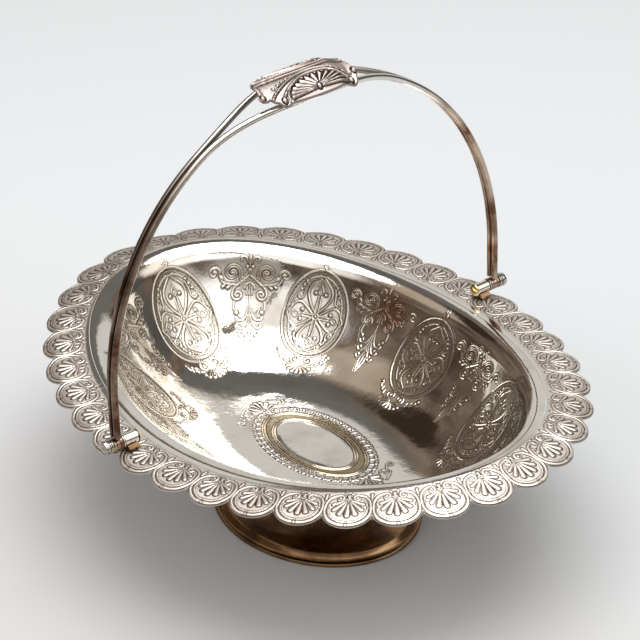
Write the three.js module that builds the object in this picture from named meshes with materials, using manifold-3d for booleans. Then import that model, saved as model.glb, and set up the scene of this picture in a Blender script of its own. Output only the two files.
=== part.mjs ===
import * as THREE from "three";
import Module from "manifold-3d";
import { mergeVertices } from "three/addons/utils/BufferGeometryUtils.js";

// An oval silver-plated fruit bowl on a low foot, with a swing handle of two wires.
// Millimetres, Z up, X along the bowl, Y along the hinge pins, origin under the middle of the foot.

const wasm = await Module();
wasm.setup();

// Sheet and fit
const BOWL_SHEET = 1.3;
const BORDER_SHEET = 1.2;
const FOOT_SHEET = 1.2;
const JOINT_GAP = 0.3;

// Bowl, by its inner skin
const WELL_HEIGHT = 35.6;
const WELL_SEMI_LENGTH = 38;
const BOWL_DEPTH = 47.8;
const FLOOR_RISE = 4.2;
const LIP_SEMI_LENGTH = 124;
const LIP_SEMI_WIDTH = 87;
const WALL_REACH = 45;
const OVAL_BLEND = 8;
const LIP_RADIUS = 11.5;
const LIP_START_ANGLE = THREE.MathUtils.degToRad(64);
const LIP_END_ANGLE = THREE.MathUtils.degToRad(-6);
const LIP_DIP = 5.2;
const DIP_GROWTH = 1.5;
const SEAM_FROM_LIP = 5;
const BOWL_COLUMNS = 52;

// Rim border, from the lip to the notches between its scallops
const BORDER_END_WIDTH = 19.5;
const BORDER_SIDE_WIDTH = 23.4;
const NOTCH_DROP = 2.1;
const NOTCH_DIP = 3.4;
const BORDER_BEND = 1.3;
const BORDER_DROOP = 0.28;
const SCALLOP_COUNT = 36;
const SCALLOP_BULGE = 6;
const MEDALLION_MARGIN = 0.4;
const MEDALLION_RIM = 0.7;
const RIM_CREST_INSET = 1.7;
const LOBE_COUNT = 5;
const LOBE_HEIGHT = 0.6;
const LOBE_TAPER = 4;
const LOBE_END = 4.6;

// Foot and its edge wire
const FOOT_SEMI_LENGTH = 56.8;
const FOOT_SEMI_WIDTH = 46;
const FOOT_WIRE_WIDTH = 2.4;
const FOOT_WIRE_HEIGHT = 2;
const FOOT_WIRE_BULGE = 0.4;
const SKIRT_ROLL = 0.9;
const STEP_INSET = 4;
const STEP_HEIGHT = 5.4;
const STEP_CHAMFER = 0.4;
const STEP_TREAD = 1.3;
const NECK_INSET = 28;
const NECK_COLLAR = 4.5;
const NECK_FLARE = 1.5;
const FLARE_POWER = 1.1;
const FOOT_COLUMNS = 48;

// Hinges
const PIN_RADIUS = 1.3;
const PIN_CLEARANCE = 0.3;
const BARREL_RADIUS = 2.9;
const BARREL_LENGTH = 7.3;
const BARREL_SETBACK = 8.4;
const INNER_CAP_LENGTH = 1.5;
const INNER_CAP_OVERHANG = 0.3;
const INNER_CAP_EDGE = 0.6;
const INNER_CAP_FACE = 0.6;
const WASHER_THICKNESS = 0.5;
const WASHER_OVERHANG = 0.2;
const EYE_WIDTH = 5.2;
const EYE_OVERHANG = 0.2;
const EYE_SHOULDER = 0.4;
const OUTER_CAP_LENGTH = 4.2;
const OUTER_CAP_OVERHANG = 0.4;
const OUTER_CAP_WALL = 1;
const OUTER_CAP_ROUND = 0.5;
const CAP_GROOVE_COUNT = 2;
const CAP_GROOVE_START = 0.6;
const CAP_GROOVE_PITCH = 0.9;
const CAP_GROOVE_WIDTH = 0.5;
const CAP_GROOVE_DEPTH = 0.5;
const SADDLE_SHEET = 0.5;
const SADDLE_LENGTH = 5.6;
const SADDLE_HALF_WIDTH = 4.2;
const SADDLE_EDGE = 0.7;
const SADDLE_WRAP = THREE.MathUtils.degToRad(60);
const ROUND_FACES = 16;

// Handle
const WIRE_WIDTH = 3;
const WIRE_DEPTH = 3.2;
const WIRE_STEPS = 44;
const LEG_LENGTH = 18.6;
const ARCH_RISE = 121.8;
const ARCH_POWER = 2.05;
const WIRE_SPREAD = 10;
const SPREAD_REACH = 60;

// Cartouche
const PLATE_SEMI_LENGTH = 29;
const PLATE_SEMI_WIDTH = 14.5;
const PLATE_THICKNESS = 1.4;
const PLATE_CROWN = 7;
const PLATE_BOW = 0.15;
const PLATE_SQUARENESS = 3.2;
const PLATE_COLUMNS = 28;
const PLATE_RINGS = 3;
const FAN_SEMI_LENGTH = 17.5;
const FAN_SEMI_WIDTH = 6.6;
const FAN_RIBS = 9;
const FAN_HEIGHT = 1;
const FAN_GROOVE = 0.55;
const FAN_EDGE = 0.08;
const FAN_BACK = 0.15;
const FAN_FROM_EDGE = 2.1;
const BEAD_RADIUS = 1.5;
const BAND_HEIGHT = 0.6;
const BAND_FROM_FAN = 1.12;
const BAND_REACH = 1.34;
const BAND_STEPS = 8;
const RAIL_HEIGHT = 0.7;
const RAIL_OFFSET = 0.5;
const RAIL_WIDTH = 1;
const RAIL_STEPS = 4;

const silver = new THREE.MeshStandardMaterial({ color: 0xc9c2b8, roughness: 0.22, metalness: 1 });
const stamped = new THREE.MeshStandardMaterial({ color: 0xb0a598, roughness: 0.34, metalness: 1 });
const bronze = new THREE.MeshStandardMaterial({ color: 0x5a3d22, roughness: 0.3, metalness: 1 });
const worn = new THREE.MeshStandardMaterial({ color: 0x6d4b33, roughness: 0.32, metalness: 1 });
const gilt = new THREE.MeshStandardMaterial({ color: 0xb98f4a, roughness: 0.25, metalness: 1 });
const steel = new THREE.MeshStandardMaterial({ color: 0x8a8782, roughness: 0.35, metalness: 1 });

// Surface helpers

/** A closed body through rings of points. The first and last ring may be a single point. */
function bodyFromRings(rings, closed) {
  const positions = [];
  const starts = [];
  for (const ring of rings) {
    starts.push(positions.length / 3);
    for (const p of ring) positions.push(p.x, p.y, p.z);
  }
  const columns = Math.max(...rings.map((ring) => ring.length));
  const index = [];
  const bands = closed ? rings.length : rings.length - 1;
  for (let r = 0; r < bands; r++) {
    const next = (r + 1) % rings.length;
    const low = starts[r];
    const high = starts[next];
    for (let c = 0; c < columns; c++) {
      const d = (c + 1) % columns;
      if (rings[r].length === 1) index.push(low, high + d, high + c);
      else if (rings[next].length === 1) index.push(low + c, low + d, high);
      else index.push(low + c, low + d, high + d, low + c, high + d, high + c);
    }
  }
  const geometry = new THREE.BufferGeometry();
  geometry.setAttribute("position", new THREE.Float32BufferAttribute(positions, 3));
  geometry.setIndex(enclosedVolume(positions, index) < 0 ? index.reverse() : index);
  return geometry;
}

/** Volume inside the triangles, negative when they face inwards. */
function enclosedVolume(positions, index) {
  const corner = (i) => new THREE.Vector3().fromArray(positions, 3 * index[i]);
  let volume = 0;
  for (let i = 0; i < index.length; i += 3) {
    volume += corner(i).dot(corner(i + 1).cross(corner(i + 2))) / 6;
  }
  return volume;
}

/** A profile offset sideways to its right, by its own normals. */
function offsetProfile(profile, distance) {
  return profile.map((point, i) => {
    const before = profile[Math.max(i - 1, 0)];
    const after = profile[Math.min(i + 1, profile.length - 1)];
    const along = after.clone().sub(before).normalize();
    return new THREE.Vector2(point.x + along.y * distance, point.y - along.x * distance);
  });
}

/** Angles round an oval that divide its edge into equal lengths, from the -Y side on. */
function evenAngles(semiLength, semiWidth, count) {
  const fine = 3600;
  const lengths = [0];
  const angleAt = (i) => -Math.PI / 2 + (2 * Math.PI * i) / fine;
  for (let i = 1; i <= fine; i++) {
    const from = angleAt(i - 1);
    const to = angleAt(i);
    const dx = semiLength * (Math.cos(to) - Math.cos(from));
    const dy = semiWidth * (Math.sin(to) - Math.sin(from));
    lengths.push(lengths[i - 1] + Math.hypot(dx, dy));
  }
  const angles = [];
  let step = 0;
  for (let k = 0; k < count; k++) {
    const wanted = (lengths[fine] * k) / count;
    while (lengths[step + 1] < wanted) step++;
    const part = (wanted - lengths[step]) / (lengths[step + 1] - lengths[step]);
    angles.push(angleAt(step + part));
  }
  return angles;
}

function asMesh(name, geometry, material) {
  const mesh = new THREE.Mesh(geometry, material);
  mesh.name = name;
  return mesh;
}

// Bowl: a flat well, a rising floor, a wall that steepens, and a broad rolled lip

const lipHeight = WELL_HEIGHT + BOWL_DEPTH;
const floorSemiLength = LIP_SEMI_LENGTH - WALL_REACH;
const floorSemiWidth = LIP_SEMI_WIDTH - WALL_REACH;

/**
 * Semi-axes of the oval at a distance outside the lip (negative inside). The floor's oval keeps
 * its proportions, the wall's keeps its distance to the lip, and one runs softly into the other.
 */
function bowlOval(outward) {
  const semiLength = LIP_SEMI_LENGTH + outward;
  const wallWidth = LIP_SEMI_WIDTH + outward;
  const floorWidth = (semiLength * floorSemiWidth) / floorSemiLength;
  const share = THREE.MathUtils.clamp(semiLength / LIP_SEMI_LENGTH, 0, 1);
  const softness = 4 * OVAL_BLEND ** 2 * share * (1 - share);
  return [semiLength, (wallWidth + floorWidth + Math.sqrt((wallWidth - floorWidth) ** 2 + softness)) / 2];
}

/** How far the rim dips at the hinges and lifts at the long ends, growing with height. */
function bowlDip(height) {
  const share = THREE.MathUtils.clamp((height - WELL_HEIGHT) / BOWL_DEPTH, 0, 1);
  return LIP_DIP * share ** DIP_GROWTH;
}

/** Where the floor's last slope and the first slope of the lip's roll would meet. */
function wallTurn(floorEdge, rollStart) {
  const floorSlope = (3 * FLOOR_RISE) / (floorSemiLength - WELL_SEMI_LENGTH);
  const wallSlope = Math.tan(LIP_START_ANGLE);
  const fall = rollStart.y - floorEdge.y - floorSlope * (rollStart.x - floorEdge.x);
  const back = fall / (wallSlope - floorSlope);
  return new THREE.Vector2(rollStart.x - back, rollStart.y - wallSlope * back);
}

/** Inner skin of the bowl as (outward from lip, height), from the middle to the seam. */
function bowlProfile() {
  const profile = [new THREE.Vector2(-LIP_SEMI_LENGTH, WELL_HEIGHT)];
  const floorSteps = 3;
  for (let i = 0; i <= floorSteps; i++) {
    const share = i / floorSteps;
    const reach = THREE.MathUtils.lerp(WELL_SEMI_LENGTH, floorSemiLength, share);
    profile.push(new THREE.Vector2(reach - LIP_SEMI_LENGTH, WELL_HEIGHT + FLOOR_RISE * share ** 3));
  }
  const floorEdge = profile.at(-1);
  const centreOut = SEAM_FROM_LIP + LIP_RADIUS * Math.sin(LIP_END_ANGLE);
  const onRoll = (angle) => {
    const height = lipHeight - LIP_RADIUS * (1 - Math.cos(angle));
    return new THREE.Vector2(centreOut - LIP_RADIUS * Math.sin(angle), height);
  };
  const rollStart = onRoll(LIP_START_ANGLE);
  const turn = wallTurn(floorEdge, rollStart);
  const wallSteps = 5;
  profile.push(...new THREE.QuadraticBezierCurve(floorEdge, turn, rollStart).getPoints(wallSteps).slice(1));
  const lipSteps = 4;
  for (let i = 1; i <= lipSteps; i++) {
    profile.push(onRoll(THREE.MathUtils.lerp(LIP_START_ANGLE, LIP_END_ANGLE, i / lipSteps)));
  }
  return profile;
}

function bowlPoint(outward, height, angle) {
  const [semiLength, semiWidth] = bowlOval(outward);
  const lift = bowlDip(height) * Math.cos(2 * angle);
  return new THREE.Vector3(semiLength * Math.cos(angle), semiWidth * Math.sin(angle), height + lift);
}

function bowlGeometry() {
  const inside = bowlProfile();
  const outside = offsetProfile(inside, BOWL_SHEET).slice(1).reverse();
  outside.push(new THREE.Vector2(-LIP_SEMI_LENGTH, WELL_HEIGHT - BOWL_SHEET));
  const rings = [...inside, ...outside].map((point) => {
    if (point.x <= -LIP_SEMI_LENGTH) return [new THREE.Vector3(0, 0, point.y)];
    const ring = [];
    for (let c = 0; c < BOWL_COLUMNS; c++) {
      ring.push(bowlPoint(point.x, point.y, (2 * Math.PI * c) / BOWL_COLUMNS));
    }
    return ring;
  });
  return bodyFromRings(rings, false);
}

// Rim border: a flange that droops outwards, with a ring of stamped medallions

const notchSemiLength = LIP_SEMI_LENGTH + BORDER_END_WIDTH;
const notchSemiWidth = LIP_SEMI_WIDTH + BORDER_SIDE_WIDTH;
const notchHeight = lipHeight - NOTCH_DROP;
const seamHeight = bowlProfile().at(-1).y;
const seamOutward = SEAM_FROM_LIP + JOINT_GAP;
const medallionDepth = BORDER_END_WIDTH - seamOutward - MEDALLION_MARGIN;

/** A point over the flange: its angle, distance outside the notch line and relief. */
function flangePoint(angle, outward, relief) {
  const fromX = (LIP_SEMI_LENGTH + seamOutward) * Math.cos(angle);
  const fromY = (LIP_SEMI_WIDTH + seamOutward) * Math.sin(angle);
  const toX = notchSemiLength * Math.cos(angle);
  const toY = notchSemiWidth * Math.sin(angle);
  const width = Math.hypot(toX - fromX, toY - fromY);
  const share = THREE.MathUtils.clamp(1 + outward / width, 0, 1);
  const beyond = Math.max(outward, 0);
  const away = new THREE.Vector2(Math.cos(angle) / notchSemiLength, Math.sin(angle) / notchSemiWidth);
  away.normalize();
  const lift = THREE.MathUtils.lerp(LIP_DIP, NOTCH_DIP, share) * Math.cos(2 * angle);
  const fall = (seamHeight - notchHeight) * share ** BORDER_BEND + beyond * BORDER_DROOP;
  return new THREE.Vector3(
    THREE.MathUtils.lerp(fromX, toX, share) + away.x * beyond,
    THREE.MathUtils.lerp(fromY, toY, share) + away.y * beyond,
    seamHeight - fall + lift + relief,
  );
}

/** How far the scalloped edge stands outside the notch line; side runs from -1 to 1. */
function scallopReach(side) {
  const halfPitch = (Math.PI * (notchSemiLength + notchSemiWidth)) / SCALLOP_COUNT / 2;
  const radius = (halfPitch ** 2 + SCALLOP_BULGE ** 2) / (2 * SCALLOP_BULGE);
  return Math.sqrt(radius ** 2 - (side * halfPitch) ** 2) - radius + SCALLOP_BULGE;
}

function borderGeometry() {
  const perScallop = 2 * LOBE_COUNT;
  const angles = evenAngles(notchSemiLength, notchSemiWidth, SCALLOP_COUNT * perScallop);
  const columns = angles.map((angle, i) => {
    const place = i % perScallop;
    const edge = scallopReach((2 * place) / perScallop - 1);
    const lobe = place % 2 === 1 ? LOBE_HEIGHT : 0;
    return [
      flangePoint(angle, -Infinity, -BORDER_SHEET),
      flangePoint(angle, -Infinity, 0),
      flangePoint(angle, -medallionDepth, lobe / LOBE_TAPER),
      flangePoint(angle, edge - LOBE_END, lobe),
      flangePoint(angle, edge - RIM_CREST_INSET, MEDALLION_RIM),
      flangePoint(angle, edge, 0),
      flangePoint(angle, edge, -BORDER_SHEET),
    ];
  });
  const rings = columns[0].map((_, r) => columns.map((points) => points[r]));
  return bodyFromRings(rings, true);
}

// Foot and its edge wire

function footRings(loop) {
  return loop.map((point) => {
    const ring = [];
    for (let c = 0; c < FOOT_COLUMNS; c++) {
      const angle = (2 * Math.PI * c) / FOOT_COLUMNS;
      const x = (FOOT_SEMI_LENGTH - point.x) * Math.cos(angle);
      const y = (FOOT_SEMI_WIDTH - point.x) * Math.sin(angle);
      ring.push(new THREE.Vector3(x, y, point.y));
    }
    return ring;
  });
}

/** Outer skin of the foot as (inset, height): skirt, step, flare, neck, seat under the bowl. */
function footProfile() {
  const skirt = FOOT_WIRE_HEIGHT + JOINT_GAP;
  const seat = WELL_HEIGHT - BOWL_SHEET - JOINT_GAP;
  const tread = new THREE.Vector2(STEP_INSET + STEP_TREAD, STEP_HEIGHT);
  const neck = new THREE.Vector2(NECK_INSET, seat - NECK_COLLAR);
  const profile = [
    new THREE.Vector2(FOOT_WIRE_WIDTH / 2, skirt),
    new THREE.Vector2(FOOT_WIRE_WIDTH, skirt + SKIRT_ROLL),
    new THREE.Vector2(STEP_INSET, STEP_HEIGHT - STEP_CHAMFER),
    tread,
  ];
  const flareSteps = 4;
  for (let i = 1; i <= flareSteps; i++) {
    const turn = (i / flareSteps) * (Math.PI / 2);
    const inwards = Math.sin(turn) ** FLARE_POWER;
    const upwards = 1 - Math.cos(turn) ** FLARE_POWER;
    const inset = THREE.MathUtils.lerp(tread.x, neck.x, inwards);
    profile.push(new THREE.Vector2(inset, THREE.MathUtils.lerp(tread.y, neck.y, upwards)));
  }
  profile.push(new THREE.Vector2(NECK_INSET - NECK_FLARE, seat));
  return profile;
}

function footGeometry() {
  const outside = footProfile();
  const inside = offsetProfile(outside, FOOT_SHEET);
  inside[0].y = outside[0].y;
  inside.at(-1).y = outside.at(-1).y;
  return bodyFromRings(footRings([...outside, ...inside.reverse()]), true);
}

/** The wire lies flat on the table and bulges a little past the foot. */
function footWireGeometry() {
  const loop = [
    new THREE.Vector2(FOOT_WIRE_WIDTH, 0),
    new THREE.Vector2(0, 0),
    new THREE.Vector2(-FOOT_WIRE_BULGE, FOOT_WIRE_HEIGHT / 2),
    new THREE.Vector2(0, FOOT_WIRE_HEIGHT),
    new THREE.Vector2(FOOT_WIRE_WIDTH, FOOT_WIRE_HEIGHT),
  ];
  return bodyFromRings(footRings(loop), true);
}

// Hinge pieces, drawn along their own axis from the middle of the bowl outwards

const barrelStart = notchSemiWidth - BARREL_SETBACK;
const barrelEnd = barrelStart + BARREL_LENGTH;
const washerStart = barrelEnd + JOINT_GAP;
const eyeStart = washerStart + WASHER_THICKNESS + JOINT_GAP;
const legOffset = eyeStart + EYE_WIDTH / 2;
const outerCapStart = eyeStart + EYE_WIDTH + JOINT_GAP;
const boreRadius = PIN_RADIUS + PIN_CLEARANCE;
const saddleStart = barrelStart + (BARREL_LENGTH - SADDLE_LENGTH) / 2;
const saddleBase = highestUnderSaddle() + JOINT_GAP;
const hingeHeight = saddleBase + SADDLE_SHEET + JOINT_GAP + BARREL_RADIUS;
const eyeRadius = BARREL_RADIUS + EYE_OVERHANG;
const eyeTop = eyeRadius + EYE_SHOULDER;

/** Height of the stamped border where a saddle stands on it. */
function highestUnderSaddle() {
  const relief = Math.max(MEDALLION_RIM, LOBE_HEIGHT);
  const under = [saddleStart, saddleStart + SADDLE_LENGTH].map((y) => {
    return flangePoint(Math.PI / 2, y - notchSemiWidth, relief).z;
  });
  return Math.max(...under);
}

/** A turned piece from a profile of (radius, distance along the hinge), closed on itself. */
function turned(points) {
  const outline = points.map(([radius, along]) => new THREE.Vector2(radius, along));
  return new THREE.LatheGeometry(outline, ROUND_FACES);
}

function tube(inner, outer, from, to) {
  return turned([[inner, from], [outer, from], [outer, to], [inner, to], [inner, from]]);
}

function innerCapGeometry() {
  const end = barrelStart - JOINT_GAP;
  const start = end - INNER_CAP_LENGTH;
  const radius = BARREL_RADIUS + INNER_CAP_OVERHANG;
  const face = [radius * INNER_CAP_FACE, start + INNER_CAP_LENGTH / 5];
  return turned([[0, start], face, [radius, end - INNER_CAP_EDGE], [radius, end], [0, end]]);
}

function pinGeometry() {
  const from = barrelStart + JOINT_GAP;
  const to = outerCapStart + OUTER_CAP_LENGTH - OUTER_CAP_WALL - JOINT_GAP;
  return turned([[0, from], [PIN_RADIUS, from], [PIN_RADIUS, to], [0, to]]);
}

/** Turned cap with ring grooves, bored to take the end of the pin. */
function outerCapGeometry() {
  const radius = BARREL_RADIUS + OUTER_CAP_OVERHANG;
  const from = outerCapStart;
  const to = from + OUTER_CAP_LENGTH;
  const floor = to - OUTER_CAP_WALL;
  const outline = [[0, floor], [boreRadius, floor], [boreRadius, from], [radius, from]];
  for (let groove = 0; groove < CAP_GROOVE_COUNT; groove++) {
    const at = from + CAP_GROOVE_START + groove * CAP_GROOVE_PITCH;
    outline.push([radius, at], [radius - CAP_GROOVE_DEPTH, at + CAP_GROOVE_WIDTH / 2]);
    outline.push([radius, at + CAP_GROOVE_WIDTH]);
  }
  outline.push([radius, to - OUTER_CAP_ROUND], [radius - OUTER_CAP_ROUND, to], [0, to]);
  return turned(outline);
}

/** An outline drawn across the hinge axis, as deep along it as the piece is wide. */
function acrossHinge(outline, start, width) {
  const options = { depth: width, bevelEnabled: false, curveSegments: ROUND_FACES / 2 };
  const geometry = new THREE.ExtrudeGeometry(outline, options);
  geometry.rotateX(Math.PI / 2);
  geometry.translate(0, start + width, 0);
  return geometry;
}

function eyeGeometry() {
  const outline = new THREE.Shape();
  outline.absarc(0, 0, eyeRadius, Math.PI, 2 * Math.PI, false);
  outline.lineTo(eyeRadius, eyeTop);
  outline.lineTo(-eyeRadius, eyeTop);
  outline.closePath();
  const bore = new THREE.Path();
  bore.absarc(0, 0, boreRadius, 0, 2 * Math.PI, true);
  outline.holes.push(bore);
  return acrossHinge(outline, eyeStart, EYE_WIDTH);
}

/** Cradle block: a hollow bed under the barrel, on a flat foot that is soldered to the border. */
function saddleGeometry() {
  const bed = BARREL_RADIUS + JOINT_GAP;
  const base = saddleBase - hingeHeight;
  const outline = new THREE.Shape();
  outline.moveTo(-SADDLE_HALF_WIDTH, base);
  outline.lineTo(SADDLE_HALF_WIDTH, base);
  outline.lineTo(SADDLE_HALF_WIDTH, base + SADDLE_EDGE);
  outline.absarc(0, 0, bed, -Math.PI / 2 + SADDLE_WRAP, -Math.PI / 2 - SADDLE_WRAP, true);
  outline.lineTo(-SADDLE_HALF_WIDTH, base + SADDLE_EDGE);
  outline.closePath();
  return acrossHinge(outline, saddleStart, SADDLE_LENGTH);
}

function hinge(side) {
  const group = new THREE.Group();
  group.position.z = hingeHeight;
  group.rotation.z = side === "left" ? Math.PI : 0;
  const barrel = tube(boreRadius, BARREL_RADIUS, barrelStart, barrelEnd);
  const washerRadius = BARREL_RADIUS + WASHER_OVERHANG;
  const washer = tube(boreRadius, washerRadius, washerStart, washerStart + WASHER_THICKNESS);
  group.add(
    asMesh(`hinge_inner_cap_${side}`, innerCapGeometry(), gilt),
    asMesh(`hinge_barrel_${side}`, barrel, silver),
    asMesh(`hinge_saddle_${side}`, saddleGeometry(), worn),
    asMesh(`hinge_pin_${side}`, pinGeometry(), steel),
    asMesh(`hinge_washer_${side}`, washer, silver),
    asMesh(`hinge_outer_cap_${side}`, outerCapGeometry(), steel),
  );
  return group;
}

// Handle

const legFoot = hingeHeight + eyeTop + JOINT_GAP;
const archFoot = legFoot + LEG_LENGTH;

/** Height of the wires' centre line above the table at a distance from the middle. */
function archHeight(y) {
  const share = Math.min(Math.abs(y) / legOffset, 1);
  return archFoot + ARCH_RISE * (1 - share ** ARCH_POWER) ** (1 / ARCH_POWER);
}

/** Distance of each wire's centre line from the middle plane. */
function wireSpread(y) {
  const together = (WIRE_WIDTH + JOINT_GAP) / 2;
  const share = Math.min(Math.abs(y) / SPREAD_REACH, 1);
  return together + WIRE_SPREAD * Math.cos((share * Math.PI) / 2) ** 2;
}

/** Centre line of one wire: up a straight leg, over the arch and down the other leg. */
class HandleWire extends THREE.Curve {
  constructor(side) {
    super();
    this.side = side;
  }

  getPoint(t, target = new THREE.Vector3()) {
    const arch = (Math.PI * (legOffset + ARCH_RISE)) / 4;
    const along = (2 * t - 1) * (arch + LEG_LENGTH);
    const out = Math.abs(along);
    const turn = (Math.min(out / arch, 1) * Math.PI) / 2;
    const y = legOffset * Math.sign(along) * Math.sin(turn) ** (2 / ARCH_POWER);
    const rise = ARCH_RISE * Math.max(Math.cos(turn), 0) ** (2 / ARCH_POWER);
    const z = archFoot + (out > arch ? arch - out : rise);
    return target.set(this.side * wireSpread(y), y, z);
  }
}

function wireGeometry(side) {
  const section = new THREE.Shape();
  section.absellipse(0, 0, WIRE_DEPTH / 2, WIRE_WIDTH / 2, 0, 2 * Math.PI, false, 0);
  const path = new HandleWire(side);
  const options = { steps: WIRE_STEPS, extrudePath: path, curveSegments: 4, bevelEnabled: false };
  return new THREE.ExtrudeGeometry(section, options);
}

// Cartouche

const plateSlope = (2 * PLATE_CROWN * wireSpread(0)) / PLATE_SEMI_WIDTH ** 2;
const wireReach = Math.hypot((plateSlope * WIRE_WIDTH) / 2, WIRE_DEPTH / 2);
const plateSeat = archHeight(0) + wireReach + JOINT_GAP * Math.hypot(plateSlope, 1);

/** Top of the plate: nearly straight along the handle, strongly crowned over both wires. */
function plateTop(x, y) {
  const crown = (PLATE_CROWN * (wireSpread(0) ** 2 - x ** 2)) / PLATE_SEMI_WIDTH ** 2;
  const bow = PLATE_BOW * (archHeight(0) - archHeight(y));
  return plateSeat + PLATE_THICKNESS + crown - bow;
}

/** A closed skin over part of the plate, from a grid of plan points and their relief. */
function plateBody(rings, relief, depth) {
  const layer = (rise) => rings.map((ring, r) => ring.map(([x, y], c) => {
    return new THREE.Vector3(x, y, plateTop(x, y) + rise(r, c));
  }));
  return bodyFromRings([...layer(relief), ...layer(() => -depth).reverse()], false);
}

function plateRings() {
  const rings = [[[0, 0]]];
  for (let r = 1; r <= PLATE_RINGS; r++) {
    const ring = [];
    for (let c = 0; c < PLATE_COLUMNS; c++) {
      const angle = (2 * Math.PI * c) / PLATE_COLUMNS;
      const cos = Math.cos(angle);
      const sin = Math.sin(angle);
      const squared = Math.abs(cos) ** PLATE_SQUARENESS + Math.abs(sin) ** PLATE_SQUARENESS;
      const reach = r / PLATE_RINGS / squared ** (1 / PLATE_SQUARENESS);
      ring.push([PLATE_SEMI_WIDTH * cos * reach, PLATE_SEMI_LENGTH * sin * reach]);
    }
    rings.push(ring);
  }
  return rings;
}

/** A plan point at a share of the fan's reach; the angle counts from the plate's ridge. */
function fanPoint(side, share, angle) {
  const inwards = FAN_SEMI_WIDTH * share * Math.cos(angle);
  const centre = PLATE_SEMI_WIDTH - FAN_FROM_EDGE;
  const x = side * (centre - (inwards > 0 ? inwards : inwards * FAN_BACK));
  return [x, -side * FAN_SEMI_LENGTH * share * Math.sin(angle)];
}

/** A shell fan: ribs spread over a half oval, from a bead at the plate's edge inwards. */
function fanBody(side) {
  const columns = 4 * FAN_RIBS;
  const rings = [[fanPoint(side, 0, 0)]];
  for (const share of [BEAD_RADIUS / FAN_SEMI_WIDTH, 1 - FAN_EDGE, 1]) {
    const ring = [];
    for (let c = 0; c < columns; c++) ring.push(fanPoint(side, share, (2 * Math.PI * c) / columns));
    rings.push(ring);
  }
  const last = rings.length - 1;
  const relief = (r, c) => (r === last ? 0 : FAN_HEIGHT - (c % 2) * FAN_GROOVE);
  return plateBody(rings, relief, PLATE_THICKNESS / 2);
}

/** A raised strip on the plate between two lines of plan points, closed at both ends. */
function stripBody(edges, height) {
  const at = ([x, y], rise) => new THREE.Vector3(x, y, plateTop(x, y) + rise);
  const root = -PLATE_THICKNESS / 2;
  const sections = edges.map(([near, far]) => {
    return [at(near, root), at(far, root), at(far, height), at(near, height)];
  });
  const end = (section) => [section[0].clone().lerp(section[2], 0.5)];
  return bodyFromRings([end(sections[0]), ...sections, end(sections.at(-1))], false);
}

/** The arched band that frames a fan. */
function bandBody(side) {
  const edges = [];
  for (let i = 0; i <= BAND_STEPS; i++) {
    const angle = (i / BAND_STEPS - 0.5) * Math.PI;
    edges.push([fanPoint(side, BAND_FROM_FAN, angle), fanPoint(side, BAND_REACH, angle)]);
  }
  return stripBody(edges, BAND_HEIGHT);
}

/** One of the two straight rails along the plate's ridge. */
function railBody(side) {
  const edges = [];
  for (let i = 0; i <= RAIL_STEPS; i++) {
    const y = ((2 * i) / RAIL_STEPS - 1) * (PLATE_SEMI_LENGTH - RAIL_WIDTH / 2);
    edges.push([[side * RAIL_OFFSET, y], [side * (RAIL_OFFSET + RAIL_WIDTH), y]]);
  }
  return stripBody(edges, RAIL_HEIGHT);
}

function beadBody(x, y) {
  const bead = new THREE.SphereGeometry(BEAD_RADIUS, 8, 6);
  bead.translate(x, y, plateTop(x, y) + BEAD_RADIUS / 4);
  return bead;
}

function asSolid(geometry) {
  const bare = geometry.clone();
  bare.deleteAttribute("normal");
  bare.deleteAttribute("uv");
  const merged = mergeVertices(bare, 1e-4);
  return new wasm.Manifold(new wasm.Mesh({
    numProp: 3,
    vertProperties: new Float32Array(merged.attributes.position.array),
    triVerts: new Uint32Array(merged.index.array),
  }));
}

function fromSolid(solid) {
  const mesh = solid.getMesh();
  const geometry = new THREE.BufferGeometry();
  geometry.setAttribute("position", new THREE.BufferAttribute(mesh.vertProperties, 3));
  geometry.setIndex(new THREE.BufferAttribute(mesh.triVerts, 1));
  return geometry;
}

/** The cast cartouche: a crowned plate with a fan, its bead, a band and a rail on each side. */
function cartoucheGeometry() {
  let solid = asSolid(plateBody(plateRings(), () => 0, PLATE_THICKNESS));
  for (const side of [1, -1]) {
    const bead = beadBody(...fanPoint(side, 0, 0));
    const pieces = [fanBody(side), bead, bandBody(side), railBody(side)];
    for (const piece of pieces) solid = solid.add(asSolid(piece));
  }
  return fromSolid(solid);
}

// The whole bowl

const fruitBowl = new THREE.Group();
fruitBowl.add(
  asMesh("bowl", bowlGeometry(), silver),
  asMesh("rim_border", borderGeometry(), stamped),
  asMesh("foot", footGeometry(), bronze),
  asMesh("foot_edge_wire", footWireGeometry(), bronze),
  hinge("left"),
  hinge("right"),
);

const handle = new THREE.Group();
handle.add(
  asMesh("handle_wire_front", wireGeometry(1), worn),
  asMesh("handle_wire_back", wireGeometry(-1), worn),
  asMesh("cartouche", cartoucheGeometry(), stamped),
);
for (const side of ["left", "right"]) {
  const eye = asMesh(`handle_eye_${side}`, eyeGeometry(), worn);
  eye.position.z = hingeHeight;
  eye.rotation.z = side === "left" ? Math.PI : 0;
  handle.add(eye);
}
fruitBowl.add(handle);

export default fruitBowl;
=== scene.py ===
"""The looks of an oval silver-plated fruit bowl with a swing handle.

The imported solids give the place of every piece. Here each of them gets its fine form, its chased or
stamped ornament and its finish. Sizes are millimetres until a mesh is made, then metres.
"""

import logging
import math
from dataclasses import dataclass
from enum import Enum
from typing import Sequence

import bpy
import numpy as np
from mathutils import Matrix, Vector

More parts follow.
